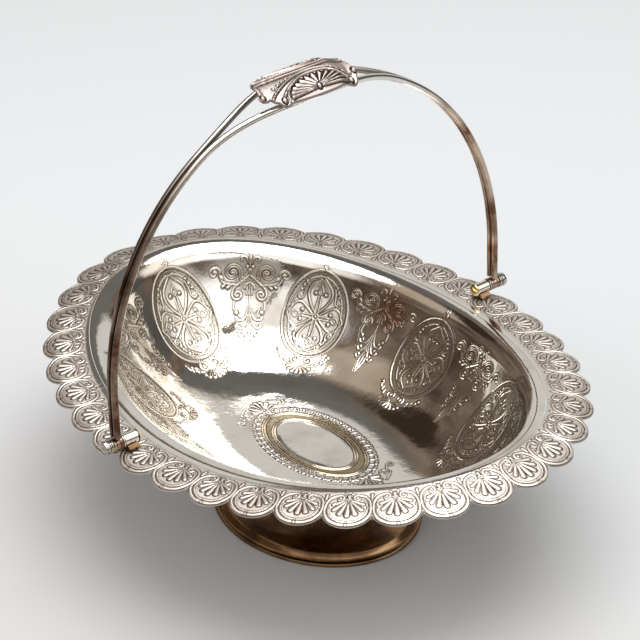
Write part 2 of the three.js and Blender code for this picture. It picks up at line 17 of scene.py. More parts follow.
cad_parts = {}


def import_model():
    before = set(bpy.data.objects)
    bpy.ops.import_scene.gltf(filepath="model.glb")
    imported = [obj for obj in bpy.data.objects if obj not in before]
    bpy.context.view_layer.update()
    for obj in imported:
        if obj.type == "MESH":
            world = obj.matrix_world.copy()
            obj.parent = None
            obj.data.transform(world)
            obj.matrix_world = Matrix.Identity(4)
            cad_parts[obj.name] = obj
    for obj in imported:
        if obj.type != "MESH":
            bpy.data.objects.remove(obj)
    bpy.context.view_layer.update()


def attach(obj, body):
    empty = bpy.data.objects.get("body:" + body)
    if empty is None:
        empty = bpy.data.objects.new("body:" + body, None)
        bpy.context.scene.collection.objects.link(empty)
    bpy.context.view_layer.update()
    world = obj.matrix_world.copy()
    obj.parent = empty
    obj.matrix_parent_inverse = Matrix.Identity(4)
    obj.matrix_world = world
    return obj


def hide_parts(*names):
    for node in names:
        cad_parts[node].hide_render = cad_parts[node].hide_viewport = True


Array = np.ndarray
Pair = tuple[float, float]
Piece = bpy.types.Object
Tree = bpy.types.NodeTree
Socket = bpy.types.NodeSocket
Value = Socket | float | Sequence[float]

LOG = logging.getLogger("fruit_bowl")
MM = 0.001
SEED = 7
IMAGE_SIDE = 640
FULL_TURN = 2 * math.pi
MERGE_METRES = 1e-6
STROKE_STEP = 0.12
WELL_SCROLLS = 42
FAN_RIBS = 13

# What a tool leaves on both sides of its path, in shares of the mark's half width.
TWIN_AT, TWIN_HALF = 0.62, 0.4
GUTTER_AT, GUTTER_HALF, GUTTER_DEPTH = 1.3, 0.4, 0.4
GROOVE_HALF = 0.3
MARK_REACH, FAR = 1.8, 9.0
# Tarnish for each millimetre of depth in a sunk line, and painted shade at the foot of a ridge.
LINE_DIRT, FOOT_PAINTED_SHADE = 9.0, 4.0
# How far punched dots stray and their half width, in shares of their spacing.
DOT_STRAY, DOT_HALF = 0.3, 0.42
# Samples of a scroll for each turn and each millimetre of its radius, and the share of its eye.
SCROLL_SAMPLES, SCROLL_EYE = 50, 0.12
NOISE_ROUGHNESS = 0.55


class Body(Enum):
    """The two bodies of the bowl that move against each other."""

    BASKET = "basket"
    HANDLE = "handle"


class Side(Enum):
    """The two ends of the hinge line, by the direction of their Y."""

    LEFT = -1
    RIGHT = 1


# Small helpers for points


def circle(steps: int) -> Array:
    """Angles at even steps once round, the last a full turn after the first."""
    return np.linspace(0, FULL_TURN, steps + 1)


def on_oval(length: Array | float, width: Array | float, angle: Array) -> Array:
    """Points on the ovals with these semi-axes."""
    return np.stack([length * np.cos(angle), width * np.sin(angle)], -1)


def unit(vectors: Array) -> Array:
    """Vectors brought to length 1."""
    return vectors / np.maximum(np.linalg.norm(vectors, axis=-1, keepdims=True), 1e-9)


def squared(wave: Array, power: Array | float) -> Array:
    """A wave between -1 and 1, fuller as the power is smaller."""
    return np.sign(wave) * np.abs(wave) ** power


def hump(share: Array, middle: float, half: float) -> Array:
    """A rounded bump of height 1 about a middle value."""
    return np.clip(1 - ((share - middle) / half) ** 2, 0, 1)


def run_along(points: Array) -> Array:
    """Length of a line, or of each of several lines, up to each of its points."""
    steps = np.linalg.norm(np.diff(points, axis=-2), axis=-1)
    return np.concatenate([np.zeros_like(steps[..., :1]), np.cumsum(steps, axis=-1)], axis=-1)


def evenly(line: Array, values: Array, steps: int) -> Array:
    """Reads values at even steps along a line.

    Args:
        line: Points of the line.
        values: A value or a row of values at each point.
        steps: How many steps.

    Returns:
        The values at both ends and at each step between.
    """
    run = run_along(line)
    even = np.linspace(0, run[-1], steps + 1)
    columns = [np.interp(even, run, column) for column in values.reshape(len(line), -1).T]
    return np.stack(columns, -1).reshape(-1, *values.shape[1:])


# Small helpers for meshes


def deselect_all() -> None:
    """Leaves nothing selected."""
    bpy.ops.object.select_all(action="DESELECT")


def named(name: str) -> Piece:
    """Names the object that was just added, and its data.

    Args:
        name: Its name.

    Returns:
        The object.
    """
    piece = bpy.context.object
    piece.name = piece.data.name = name
    return piece


def add_mark(piece: Piece, key: str, values: Array) -> None:
    """Gives every point of a piece a value from 0 to 1, such as its tarnish."""
    layer = piece.data.attributes.new(key, "FLOAT", "POINT")
    layer.data.foreach_set("value", values.astype(np.float32).ravel())


def wrapped_grid(name: str, points: Array, **marks: Array) -> Piece:
    """Adds a flat grid and wraps it over rows of points.

    Args:
        name: The piece's name.
        points: Rows, columns and xyz in millimetres. Columns x rows turns outwards.
        marks: Values from 0 to 1 at each point.

    Returns:
        The wrapped grid, with its place in its mesh.
    """
    deselect_all()
    rows, columns = points.shape[0] - 1, points.shape[1] - 1
    bpy.ops.mesh.primitive_grid_add(x_subdivisions=columns, y_subdivisions=rows, size=1)
    piece = named(name)
    piece.data.vertices.foreach_set("co", (points * MM).astype(np.float32).ravel())
    for key, values in marks.items():
        add_mark(piece, key, values)
    for unused in list(piece.data.uv_layers):
        piece.data.uv_layers.remove(unused)
    piece.data.update()
    return piece


def select_only(piece: Piece) -> None:
    """Selects one piece and makes it active.

    Args:
        piece: The piece.
    """
    deselect_all()
    piece.select_set(True)
    bpy.context.view_layer.objects.active = piece


def weld(piece: Piece, closed: bool = True, caps: bool = False) -> None:
    """Merges the seams and poles of a piece.

    Args:
        piece: The piece.
        closed: Whether the form is closed, so that its faces can be turned outwards.
        caps: Whether its open ends are filled first.
    """
    select_only(piece)
    bpy.ops.object.mode_set(mode="EDIT")
    bpy.ops.mesh.select_all(action="SELECT")
    bpy.ops.mesh.remove_doubles(threshold=MERGE_METRES)
    if caps:
        bpy.ops.mesh.select_all(action="DESELECT")
        bpy.ops.mesh.select_non_manifold()
        bpy.ops.mesh.fill_holes(sides=0)
        bpy.ops.mesh.select_all(action="SELECT")
    if closed:
        bpy.ops.mesh.normals_make_consistent(inside=False)
    bpy.ops.object.mode_set(mode="OBJECT")


def turned(name: str, stations: Sequence[Pair], faces: int = 64) -> Piece:
    """Turns a piece on the Z axis by drawing a disc out from station to station.

    Args:
        name: The piece's name.
        stations: (radius, height) of each step, from one end to the other.
        faces: Faces round the piece.

    Returns:
        The closed piece.
    """
    deselect_all()
    radius, height = stations[0]
    bpy.ops.mesh.primitive_circle_add(
        vertices=faces, radius=radius * MM, fill_type="NGON", location=(0, 0, height * MM)
    )
    piece = named(name)
    bpy.ops.object.transform_apply(location=True, rotation=False, scale=False)
    bpy.ops.object.mode_set(mode="EDIT")
    bpy.ops.mesh.select_all(action="SELECT")
    for next_radius, next_height in stations[1:]:
        rise = (0, 0, (next_height - height) * MM)
        bpy.ops.mesh.extrude_region_move(TRANSFORM_OT_translate={"value": rise})
        share, centre = next_radius / radius, (0, 0, next_height * MM)
        bpy.ops.transform.resize(value=(share, share, 1), center_override=centre)
        radius, height = next_radius, next_height
    bpy.ops.mesh.select_all(action="SELECT")
    bpy.ops.mesh.normals_make_consistent(inside=False)
    bpy.ops.object.mode_set(mode="OBJECT")
    return piece


# Materials


def linear(code: str) -> tuple[float, float, float, float]:
    """Turns an sRGB hex colour into linear red, green, blue and alpha.

    Args:
        code: Six hex digits after a hash.

    Returns:
        The linear colour.
    """
    parts = [int(code[i:i + 2], 16) / 255 for i in (1, 3, 5)]
    red, green, blue = [p / 12.92 if p <= 0.04045 else ((p + 0.055) / 1.055) ** 2.4 for p in parts]
    return red, green, blue, 1.0


def clean_tree(owner: bpy.types.Material | bpy.types.World) -> Tree:
    """Empties the node tree of a material or a world.

    Args:
        owner: The material or world.

    Returns:
        The empty tree.
    """
    owner.use_nodes = True
    owner.node_tree.nodes.clear()
    return owner.node_tree


def add_node(tree: Tree, kind: str, values: dict | None = None, **settings: object) -> bpy.types.Node:
    """Adds a node with its settings, its socket values and the links into it.

    Args:
        tree: The node tree.
        kind: The node's type.
        values: Socket name or number to a value, or to an output socket to link from.
        settings: Properties of the node.

    Returns:
        The node.
    """
    node = tree.nodes.new(kind)
    for key, value in settings.items():
        setattr(node, key, value)
    for key, value in (values or {}).items():
        if isinstance(value, Socket):
            tree.links.new(value, node.inputs[key])
        else:
            node.inputs[key].default_value = value
    return node


def noise(tree: Tree, place: Socket, size_mm: float, detail: float) -> Socket:
    """A cloudy value whose lumps are about as wide as size_mm.

    Args:
        tree: The node tree.
        place: Where the pattern is read.
        size_mm: Width of a lump.
        detail: Octaves of finer lumps.

    Returns:
        The value from 0 to 1.
    """
    values = {"Vector": place, "Scale": 1 / (size_mm * MM), "Detail": detail}
    values["Roughness"] = NOISE_ROUGHNESS
    return add_node(tree, "ShaderNodeTexNoise", values).outputs["Fac"]


def ramp(tree: Tree, value: Socket, low: float, high: float, kind: str = "LINEAR") -> Socket:
    """A share that grows from 0 to 1 while a value goes from low to high.

    Args:
        tree: The node tree.
        value: The value.
        low: Where the share leaves 0.
        high: Where it reaches 1.
        kind: How it grows.

    Returns:
        The share.
    """
    limits = {"Value": value, "From Min": low, "From Max": high}
    node = add_node(tree, "ShaderNodeMapRange", limits, clamp=True, interpolation_type=kind)
    return node.outputs["Result"]


def mix(tree: Tree, share: Socket, first: Value, second: float | Sequence[float]) -> Socket:
    """Mixes two numbers or two colours.

    Args:
        tree: The node tree.
        share: How much of the second.
        first: A number, a colour or a socket.
        second: A number or a colour.

    Returns:
        The mixed value.
    """
    if isinstance(second, (int, float)):
        return add_node(tree, "ShaderNodeMix", {0: share, 2: first, 3: second}).outputs[0]
    values = {0: share, 6: first, 7: second}
    return add_node(tree, "ShaderNodeMix", values, data_type="RGBA").outputs[2]


@dataclass(frozen=True)
class PlateFinish:
    """Plated nickel silver: a bright metal under a haze of tarnish, dark with tarnish and painted shade
    in its recesses and between parts.
    """

    name: str
    bright: str
    haze: str
    dirt_and_shade: str
    gold: str = "#C6B180"
    rubbed: str = "#E2DFD9"
    copper: str = "#A5603F"
    rubbed_roughness: float = 0.08
    haze_share: float = 0.5
    haze_mm: float = 34.0
    haze_detail: float = 5.0
    haze_from: float = 0.62
    haze_gain: float = 0.3
    haze_band: float = 0.2
    roughness: float = 0.05
    hazed_roughness: float = 0.11
    dirt_roughness: float = 0.5
    dent_mm: float = 26.0
    dent_depth_mm: float = 0.25
    dent_detail: float = 2.0
    grain_mm: float = 0.9
    grain_detail: float = 3.0
    grain_depth_mm: float = 0.004

    def material(self) -> bpy.types.Material:
        """The node material, built when it is first asked for.

        Returns:
            The material.
        """
        if self.name in bpy.data.materials:
            return bpy.data.materials[self.name]
        material = bpy.data.materials.new(self.name)
        tree = clean_tree(material)
        place = add_node(tree, "ShaderNodeTexCoord").outputs["Object"]
        start = self.haze_from - self.haze_gain * self.haze_share
        clouds = noise(tree, place, self.haze_mm, self.haze_detail)
        hazed = ramp(tree, clouds, start, start + self.haze_band)
        gilded, rubbed, bare, dirt_and_shade_share = (
            add_node(tree, "ShaderNodeAttribute", attribute_name=mark).outputs["Fac"]
            for mark in ("gilt", "polish", "copper", "tarnish")
        )
        # The tarnish mark darkens the metal towards the dirt colour: tarnish in recesses, painted shade
        # at the foot of the relief and between the handle wires.
        metal = mix(tree, hazed, linear(self.bright), linear(self.haze))
        coats = ((gilded, self.gold), (rubbed, self.rubbed), (bare, self.copper), (dirt_and_shade_share, self.dirt_and_shade))
        for share, code in coats:
            metal = mix(tree, share, metal, linear(code))
        rough = mix(tree, hazed, self.roughness, self.hazed_roughness)
        rough = mix(tree, rubbed, rough, self.rubbed_roughness)
        rough = mix(tree, dirt_and_shade_share, rough, self.dirt_roughness)
        bumps = {}
        for size, detail, depth in (
            (self.dent_mm, self.dent_detail, self.dent_depth_mm),
            (self.grain_mm, self.grain_detail, self.grain_depth_mm),
        ):
            values = {"Height": noise(tree, place, size, detail), "Distance": depth * MM, **bumps}
            bumps = {"Normal": add_node(tree, "ShaderNodeBump", values).outputs["Normal"]}
        values = {"Base Color": metal, "Metallic": 1.0, "Roughness": rough, **bumps}
        shader = add_node(tree, "ShaderNodeBsdfPrincipled", values)
        add_node(tree, "ShaderNodeOutputMaterial", {"Surface": shader.outputs["BSDF"]})
        return material

    def coat(self, piece: Piece) -> None:
        """Makes this the only material of a piece."""
        piece.data.materials.clear()
        piece.data.materials.append(self.material())


# Hand-polished silver plate: mirror bright and warm, with slight hollows left by raising the bowl.
POLISHED_PLATE = PlateFinish(
    "silver_plate_polished", "#E2DFDA", "#C9C2B9", "#4A3A29", dent_depth_mm=0.3, dent_detail=6,
)
# Stamped silver plate: greyer and softer than the bowl, with black-brown tarnish and painted shade in
# its recesses.
STAMPED_PLATE = PlateFinish(
    "silver_plate_stamped", "#D6CFC7", "#B9B0A7", "#463A31",
    roughness=0.42, hazed_roughness=0.54, dent_mm=9, dent_depth_mm=0.05,
)
# Cast and chased silver plate, pale where hands have rubbed it and black-brown with tarnish and painted
# shade in the hollows.
CAST_PLATE = PlateFinish(
    "silver_plate_cast", "#B9AEAA", "#95877F", "#221A15",
    roughness=0.3, hazed_roughness=0.44, dent_mm=7, dent_depth_mm=0.04,
)
# Silver plate tarnished to bronze brown: dark, with gold where it still shines.
BRONZED_PLATE = PlateFinish(
    "silver_plate_bronzed", "#9C7C5B", "#5F4533", "#1E130B",
    haze_share=0.6, haze_mm=22, roughness=0.16, hazed_roughness=0.28, dent_depth_mm=0.12,
)
# Drawn wire with its plate worn through to copper brown.
WORN_WIRE = PlateFinish(
    "silver_plate_worn", "#BCAA99", "#6A4A34", "#20140C",
    haze_share=0.65, haze_mm=17, roughness=0.12, hazed_roughness=0.22, dent_mm=6, dent_depth_mm=0.02,
)
# Turned nickel silver with no plate left: cold and grey, with dark grooves.
TURNED_CAP = PlateFinish(
    "nickel_silver_turned", "#D5D3CF", "#A8A29A", "#2B2723",
    haze_mm=9, roughness=0.12, hazed_roughness=0.22, dent_mm=5, dent_depth_mm=0.01,
)
# Gilt-coloured tarnish on the little domed caps.
GILT_CAP = PlateFinish(
    "silver_plate_gilt", "#DCC48E", "#B59765", "#3A240F",
    roughness=0.18, hazed_roughness=0.28, dent_mm=5, dent_depth_mm=0.01,
)


def dress(
    piece: Piece, finish: PlateFinish, body: Body, slot: str, *nodes: str,
    edge_degrees: float | None = None,
) -> None:
    """Shades a piece smooth, gives it its finish and seats it on its body.

    Args:
        piece: The piece.
        finish: Its finish.
        body: The body that carries it.
        slot: The record's material slot. It is not used.
        nodes: The solids that it stands for.
        edge_degrees: Edges sharper than this stay sharp. None smooths them all.
    """
    select_only(piece)
    if edge_degrees is None:
        bpy.ops.object.shade_smooth()
    else:
        bpy.ops.object.shade_smooth_by_angle(angle=math.radians(edge_degrees))
    finish.coat(piece)
    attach(piece, body.value)
    if nodes:
        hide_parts(*nodes)
    LOG.info("%s: %d faces on %s", piece.name, len(piece.data.polygons), body.value)


# Chased and stamped relief


class Tool(Enum):
    """What a punch leaves in the metal along its path."""

    RIDGE = "one rounded ridge"
    TWIN = "two fine ridges side by side"
    LINE = "a sunk line"


def curve(points: Sequence[Pair], closed: bool = False) -> Array:
    """Samples a smooth line through points.

    Args:
        points: The points, in millimetres.
        closed: Whether the line comes back to its start.

    Returns:
        Samples of the line.
    """
    knots = np.array(points, float)
    if closed:
        knots = np.concatenate([knots[-1:], knots, knots[:2]])
    else:
        knots = np.concatenate([2 * knots[:1] - knots[1:2], knots, 2 * knots[-1:] - knots[-2:-1]])
    parts = []
    for a, b, c, d in zip(knots, knots[1:], knots[2:], knots[3:]):
        count = max(int(np.linalg.norm(c - b) / STROKE_STEP), 2)
        t = np.arange(count)[:, None] / count
        bend = (c - a) * t + (2 * a - 5 * b + 4 * c - d) * t ** 2 + (3 * b - a - 3 * c + d) * t ** 3
        parts.append(b + bend / 2)
    return np.concatenate([*parts, knots[-2:-1]])


def oval(centre: Pair, semi: Pair, start: float = 0, end: float = 360) -> Array:
    """Samples an oval or a part of it, between two angles in degrees."""
    count = int(math.radians(abs(end - start)) * max(semi) / STROKE_STEP) + 8
    return np.array(centre) + on_oval(*semi, np.radians(np.linspace(start, end, count)))


def scroll(centre: Pair, radius: float, hand: int, tail: Sequence[Pair], turns: float) -> Array:
    """Samples a spiral that unrolls into a tail.

    Args:
        centre: Middle of the spiral.
        radius: Its outer radius.
        hand: 1 when it unrolls anticlockwise, -1 when clockwise.
        tail: Points that the line runs on to.
        turns: Turns of the spiral.

    Returns:
        Samples of the line.
    """
    toward = np.array(tail[0]) - centre
    leave = math.atan2(toward[1], toward[0])
    leave -= hand * math.acos(min(radius / np.linalg.norm(toward), 1))
    share = np.linspace(0, 1, int(radius * turns * SCROLL_SAMPLES))
    reach = radius * (SCROLL_EYE + (1 - SCROLL_EYE) * share)
    coil = np.array(centre) + on_oval(reach, reach, leave - hand * (1 - share) * turns * FULL_TURN)
    return np.concatenate([coil, curve([coil[-1], *tail])[1:]])


class Relief:
    """An ornament drawn flat, as heights on a fine square raster."""

    def __init__(self, low: Pair, high: Pair, cell: float = 0.12) -> None:
        """Starts an empty drawing.

        Args:
            low: Its corner with the least coordinates, in millimetres.
            high: The opposite corner.
            cell: Size of a raster cell.
        """
        self.low, self.cell = np.array(low, float), cell
        columns, rows = np.ceil((np.array(high) - self.low) / cell).astype(int) + 1
        self.raised = np.zeros((rows, columns))
        self.sunk = np.zeros((rows, columns))

    def grid(self) -> tuple[Array, Array]:
        """Coordinates of the raster.

        Returns:
            The columns' x in one row, and the rows' y in one column.
        """
        rows, columns = self.raised.shape
        x = self.low[0] + self.cell * np.arange(columns)[None, :]
        return x, self.low[1] + self.cell * np.arange(rows)[:, None]

    def distance(self, path: Array, widths: Array, chunk: int) -> Array:
        """Distance of every cell from a path, as a share of the path's half width.

        Args:
            path: Samples of the path.
            widths: Half width of the mark at each sample.
            chunk: Samples that are worked at once.

        Returns:
            The shares, with one far value where the path doesn't reach.
        """
        share = np.full(self.raised.shape, FAR)
        x, y = self.grid()
        for first in range(0, len(path), chunk):
            part, wide = path[first:first + chunk + 1], widths[first:first + chunk + 1]
            margin = MARK_REACH * wide.max()
            low = np.floor((part.min(0) - margin - self.low) / self.cell).astype(int)
            high = np.ceil((part.max(0) + margin - self.low) / self.cell).astype(int) + 1
            columns, rows = (slice(max(a, 0), max(b, 0)) for a, b in zip(low, high))
            area = share[rows, columns]
            away = np.hypot(x[:, columns, None] - part[:, 0], y[rows, :, None] - part[:, 1]) / wide
            if area.size:
                np.minimum(area, away.min(-1), out=area)
        return share

    def stroke(
        self, path: Array, width: float | Pair, height: float = 0.3, tool: Tool = Tool.RIDGE,
        chunk: int = 10,
    ) -> None:
        """Drives a tool along a path.

        Args:
            path: Samples of the path.
            width: Half width of the mark, or its values at the start and at the end.
            height: Height, or depth of a sunk line.
            tool: The tool.
            chunk: Samples that are worked at once.
        """
        share = self.distance(path, np.linspace(*np.broadcast_to(width, 2), len(path)), chunk)
        if tool is Tool.LINE:
            self.sunk = np.minimum(self.sunk, -height * hump(share, 0, 1))
            return
        top = hump(share, 0, 1) if tool is Tool.RIDGE else hump(share, TWIN_AT, TWIN_HALF)
        gutter = -GUTTER_DEPTH * height
        self.sunk = np.where(share < 1, 0, self.sunk)
        self.sunk = np.minimum(self.sunk, gutter * hump(share, GUTTER_AT, GUTTER_HALF))
        if tool is Tool.TWIN:
            self.sunk = np.minimum(self.sunk, gutter * hump(share, 0, GROOVE_HALF))
        self.raised = np.maximum(self.raised, height * top)

    def line(self, width: float | Pair, *points: Pair, **how: float | Tool) -> None:
        """Drives a tool along a smooth line through points."""
        self.stroke(curve(points), width, **how)

    def coil(
        self, width: float, centre: Pair, radius: float, hand: int, *tail: Pair,
        turns: float = 1.3, **how: float | Tool,
    ) -> None:
        """Drives a tool along a scroll."""
        self.stroke(scroll(centre, radius, hand, tail, turns), width, **how)

    def dot(self, radius: float, *places: Pair, height: float = 0.35) -> None:
        """Raises round pearls."""
        for place in places:
            self.stroke(np.array([place], float), radius, height)

    def stipple(self, inside: Array, spacing: float = 0.6, depth: float = 0.12) -> None:
        """Punches fine dots into a part of the ground.

        Args:
            inside: Which cells belong to the part.
            spacing: Distance of the dots.
            depth: Their depth.
        """
        dice = np.random.default_rng(SEED)
        x, y = self.grid()
        across, up = (np.arange(line.min(), line.max(), spacing) for line in (x, y))
        across, up = np.meshgrid(across, up)
        dots = np.stack([across.ravel(), up.ravel()], -1)
        dots += dice.uniform(-DOT_STRAY, DOT_STRAY, dots.shape) * spacing
        cells = np.round((dots - self.low) / self.cell).astype(int)
        cells = np.clip(cells, 0, np.array(inside.shape[::-1]) - 1)
        dots = dots[inside[cells[:, 1], cells[:, 0]]]
        self.stroke(dots, DOT_HALF * spacing, depth, Tool.LINE, chunk=1)

    def reflected(self) -> "Relief":
        """Repeats the right half of the drawing on the left.

        Returns:
            The same drawing.
        """
        self.raised = np.maximum(self.raised, self.raised[:, ::-1])
        self.sunk = np.minimum(self.sunk, self.sunk[:, ::-1])
        return self

    def height(self) -> Array:
        """Height of every cell."""
        return self.raised + self.sunk

    def around(self, layer: Array, reach: float) -> Array:
        """Mean of a layer near each cell.

        Args:
            layer: The layer.
            reach: How far it is blurred, in millimetres.

        Returns:
            The blurred layer.
        """
        rows, columns = layer.shape
        up, across = np.fft.fftfreq(rows)[:, None], np.fft.rfftfreq(columns)
        keep = np.exp(-2 * (math.pi * reach / self.cell) ** 2 * (up ** 2 + across ** 2))
        return np.fft.irfft2(np.fft.rfft2(layer) * keep, s=layer.shape)

    def dirt_and_shade(self, strength: float = 1.0, reach: float = 0.8) -> Array:
        """Tarnish and painted shade of every cell: tarnish deep in sunk lines, painted shade fainter at
        the foot of each ridge.

        Args:
            strength: How much of it is left.
            reach: How far it spreads from a ridge.

        Returns:
            Shares from 0 to 1.
        """
        height = self.height()
        foot = self.around(height, reach) - height
        return np.clip(strength * (-LINE_DIRT * self.sunk + FOOT_PAINTED_SHADE * foot), 0, 1)

    def halo(self, strength: float = 5.0, reach: float = 1.1) -> Array:
        """Yellow tarnish of every cell, which a polishing cloth leaves close to the relief."""
        return np.clip(strength * self.around(np.abs(self.height()), reach), 0, 1)

    def sample(self, layer: Array, x: Array, y: Array) -> Array:
        """Reads a layer between its cells, with nothing outside it.

        Args:
            layer: The layer.
            x: Places to read at.
            y: Places to read at.

        Returns:
            The values there.
        """
        rows, columns = layer.shape
        across, up = (x - self.low[0]) / self.cell, (y - self.low[1]) / self.cell
        within = (across >= 0) & (across <= columns - 1) & (up >= 0) & (up <= rows - 1)
        left = np.clip(np.floor(across), 0, columns - 2).astype(int)
        below = np.clip(np.floor(up), 0, rows - 2).astype(int)
        a, b = np.clip(across - left, 0, 1), np.clip(up - below, 0, 1)
        low = layer[below, left] * (1 - a) + layer[below, left + 1] * a
        high = layer[below + 1, left] * (1 - a) + layer[below + 1, left + 1] * a
        return np.where(within, low * (1 - b) + high * b, 0)


# The bowl


@dataclass(frozen=True)
class BowlForm:
    """The inner skin of the bowl, as a profile carried round an oval."""

    well_height: float = 35.6
    well_semi_length: float = 38.0
    depth: float = 47.8
    floor_rise: float = 4.2
    lip_semi_length: float = 124.0
    lip_semi_width: float = 87.0
    wall_reach: float = 45.0
    oval_blend: float = 8.0
    lip_radius: float = 11.5
    lip_start: float = math.radians(64)
    lip_end: float = math.radians(-6)
    lip_dip: float = 5.2
    dip_growth: float = 1.5
    seam_from_lip: float = 5.0
    sheet: float = 1.3

    @property
    def lip_height(self) -> float:
        """Height of the lip's crest."""
        return self.well_height + self.depth

    def on_roll(self, angle: Array) -> Array:
        """Points of the lip's roll.

        Args:
            angle: Slope of the skin at each point.

        Returns:
            The points as (outward, height).
        """
        centre = self.seam_from_lip + self.lip_radius * math.sin(self.lip_end)
        out = centre - self.lip_radius * np.sin(angle)
        return np.stack([out, self.lip_height - self.lip_radius * (1 - np.cos(angle))], -1)

    def profile(self) -> Array:
        """The inner skin from the middle of the well to the seam.

        Returns:
            Points as (outward from the lip, height).
        """
        share = np.linspace(0, 1, 400)[:, None]
        middle = np.array([-self.lip_semi_length, self.well_height])
        well = np.array([self.well_semi_length - self.lip_semi_length, self.well_height])
        floor = well + share * [self.lip_semi_length - self.wall_reach - self.well_semi_length, 0]
        floor = floor + share ** 3 * [0, self.floor_rise]
        start = self.on_roll(np.array(self.lip_start))
        floor_slope = 3 * self.floor_rise / (floor[-1, 0] - floor[0, 0])
        wall_slope = math.tan(self.lip_start)
        fall = start[1] - floor[-1, 1] - floor_slope * (start[0] - floor[-1, 0])
        back = fall / (wall_slope - floor_slope)
        turn = start - np.array([back, wall_slope * back])
        wall = (1 - share) ** 2 * floor[-1] + 2 * share * (1 - share) * turn + share ** 2 * start
        roll = self.on_roll(self.lip_start + share[:, 0] * (self.lip_end - self.lip_start))
        return np.concatenate([middle + share[:-1] * (well - middle), floor, wall[1:], roll[1:]])

    def semi_axes(self, outward: Array | float) -> tuple[Array, Array]:
        """Half length and half width of the oval at a distance from the lip.

        Args:
            outward: Distance outside the lip, negative inside.

        Returns:
            The half length and the half width.
        """
        length = self.lip_semi_length + outward
        offset = self.lip_semi_width + outward
        floor_length = self.lip_semi_length - self.wall_reach
        scaled = length * (self.lip_semi_width - self.wall_reach) / floor_length
        share = np.clip(length / self.lip_semi_length, 0, 1)
        blend = 4 * self.oval_blend ** 2 * share * (1 - share)
        return length, (offset + scaled + np.sqrt((offset - scaled) ** 2 + blend)) / 2

    def skin(self, reach: Array, angle: Array, sunk: float = 0.0) -> Array:
        """Points of the inner skin, or of a layer under it.

        Args:
            reach: Length of the profile from the middle of the well.
            angle: Place round the oval.
            sunk: How far the layer lies under the skin.

        Returns:
            Points in millimetres.
        """
        profile = self.profile()
        along, run = unit(np.gradient(profile, axis=0)), run_along(profile)
        layer = profile + sunk * np.stack([along[:, 1], -along[:, 0]], -1)
        height = np.interp(reach, run, layer[:, 1])
        rise = np.clip((height - self.well_height) / self.depth, 0, 1)
        lift = self.lip_dip * rise ** self.dip_growth * np.cos(2 * angle)
        plan = on_oval(*self.semi_axes(np.interp(reach, run, layer[:, 0])), angle)
        return np.concatenate([plan, (height + lift)[..., None]], -1)


def chased_medallion() -> Relief:
    """The oval medallion of the wall: a cross of four leafy arms in a frame, with scrolls under it.

    Returns:
        The drawing.
    """
    art = Relief((-24, -42), (24, 32))
    x, y = art.grid()
    art.stipple((np.hypot(x / 15.7, (y - 1) / 22.6) < 1) & (np.hypot(x / 13.9, (y - 1) / 20.8) > 1))
    art.stroke(oval((0, 1), (17, 23.9)), 0.5, 0.34)
    art.stroke(oval((0, 1), (15.9, 22.8)), 0.3, 0.14, Tool.LINE)
    art.stroke(oval((0, 1), (13.6, 20.5)), 0.4, 0.26)
    art.line(0.6, (1.2, 2.6), (4.2, 6.5), (6.3, 11.5), (5.6, 15.5), (2.8, 18.6), (0.4, 21))
    art.line(0.6, (1.3, -3), (4.8, -7), (6.5, -11), (5.8, -14.5), (3.2, -17), (0.3, -19))
    art.line(0.4, (0.8, 1.2), (0.9, 6), (0.7, 11))
    art.line(0.4, (0.8, -1.2), (0.9, -6), (0.7, -10.5))
    art.line(0.4, (0, 11.6), (1.3, 13.4), (0, 16.2))
    art.line(0.4, (0, -11.6), (1.3, -13.6), (0, -16))
    art.dot(0.9, (2.7, 12.1), (2.8, -11.5), height=0.28)
    for up in (1, -1):
        side = [(2, 1.2), (5.5, 4.2), (9, 6.4), (11.8, 5.4), (13.6, 2.6), (15, 0)]
        art.line(0.55, *[(a, up * b) for a, b in side])
        art.line(0.4, (1.2, up * 0.7), (4, up * 0.8), (7, up * 0.6))
        art.line(0.4, (8.4, 0), (10.4, up * 1.7), (12.6, 0))
        art.dot(0.9, (7.6, up * 2.6), height=0.28)
    art.stroke(oval((0, 0), (1.5, 1.5)), 0.4, 0.26)
    art.dot(0.7, (0, 0))
    art.coil(0.5, (10.2, 9.6), 1.7, -1, (8.2, 13.2), (7.3, 16.8))
    art.dot(0.8, (9.3, 15.2), (8.3, 17.5), (10.3, 12.9))
    art.coil(0.5, (9.9, -8.4), 1.7, 1, (8, -13), (4.6, -17.3))
    art.dot(0.8, (8.6, -11), (7.1, -13.9), (5.9, -16.2))
    art.stroke(oval((0, 27.3), (1.35, 1.35)), 0.4, 0.28)
    art.line(0.5, (0, 25.2), (0, 25.9))
    art.line(0.35, (0, 28.9), (0.9, 30), (0, 31.2))
    tail = (2.2, -29), (5.6, -28.6), (9, -26), (12.5, -22.8), (12.4, -20.6)
    art.coil(0.5, (3.1, -25.3), 2.6, -1, *tail, height=0.32)
    art.line((0.7, 0.3), (8.2, -27), (8.6, -24.2))
    art.line((0.7, 0.3), (10.6, -25), (10.4, -22.6))
    art.dot(0.9, (13.4, -20.4))
    for lean in np.radians((0, 24, 48, 72)):
        root, tip = ((reach * math.sin(lean), -28.6 - reach * math.cos(lean)) for reach in (1.6, 6))
        art.line((0.35, 0.85), root, tip, height=0.34)
    return art.reflected()


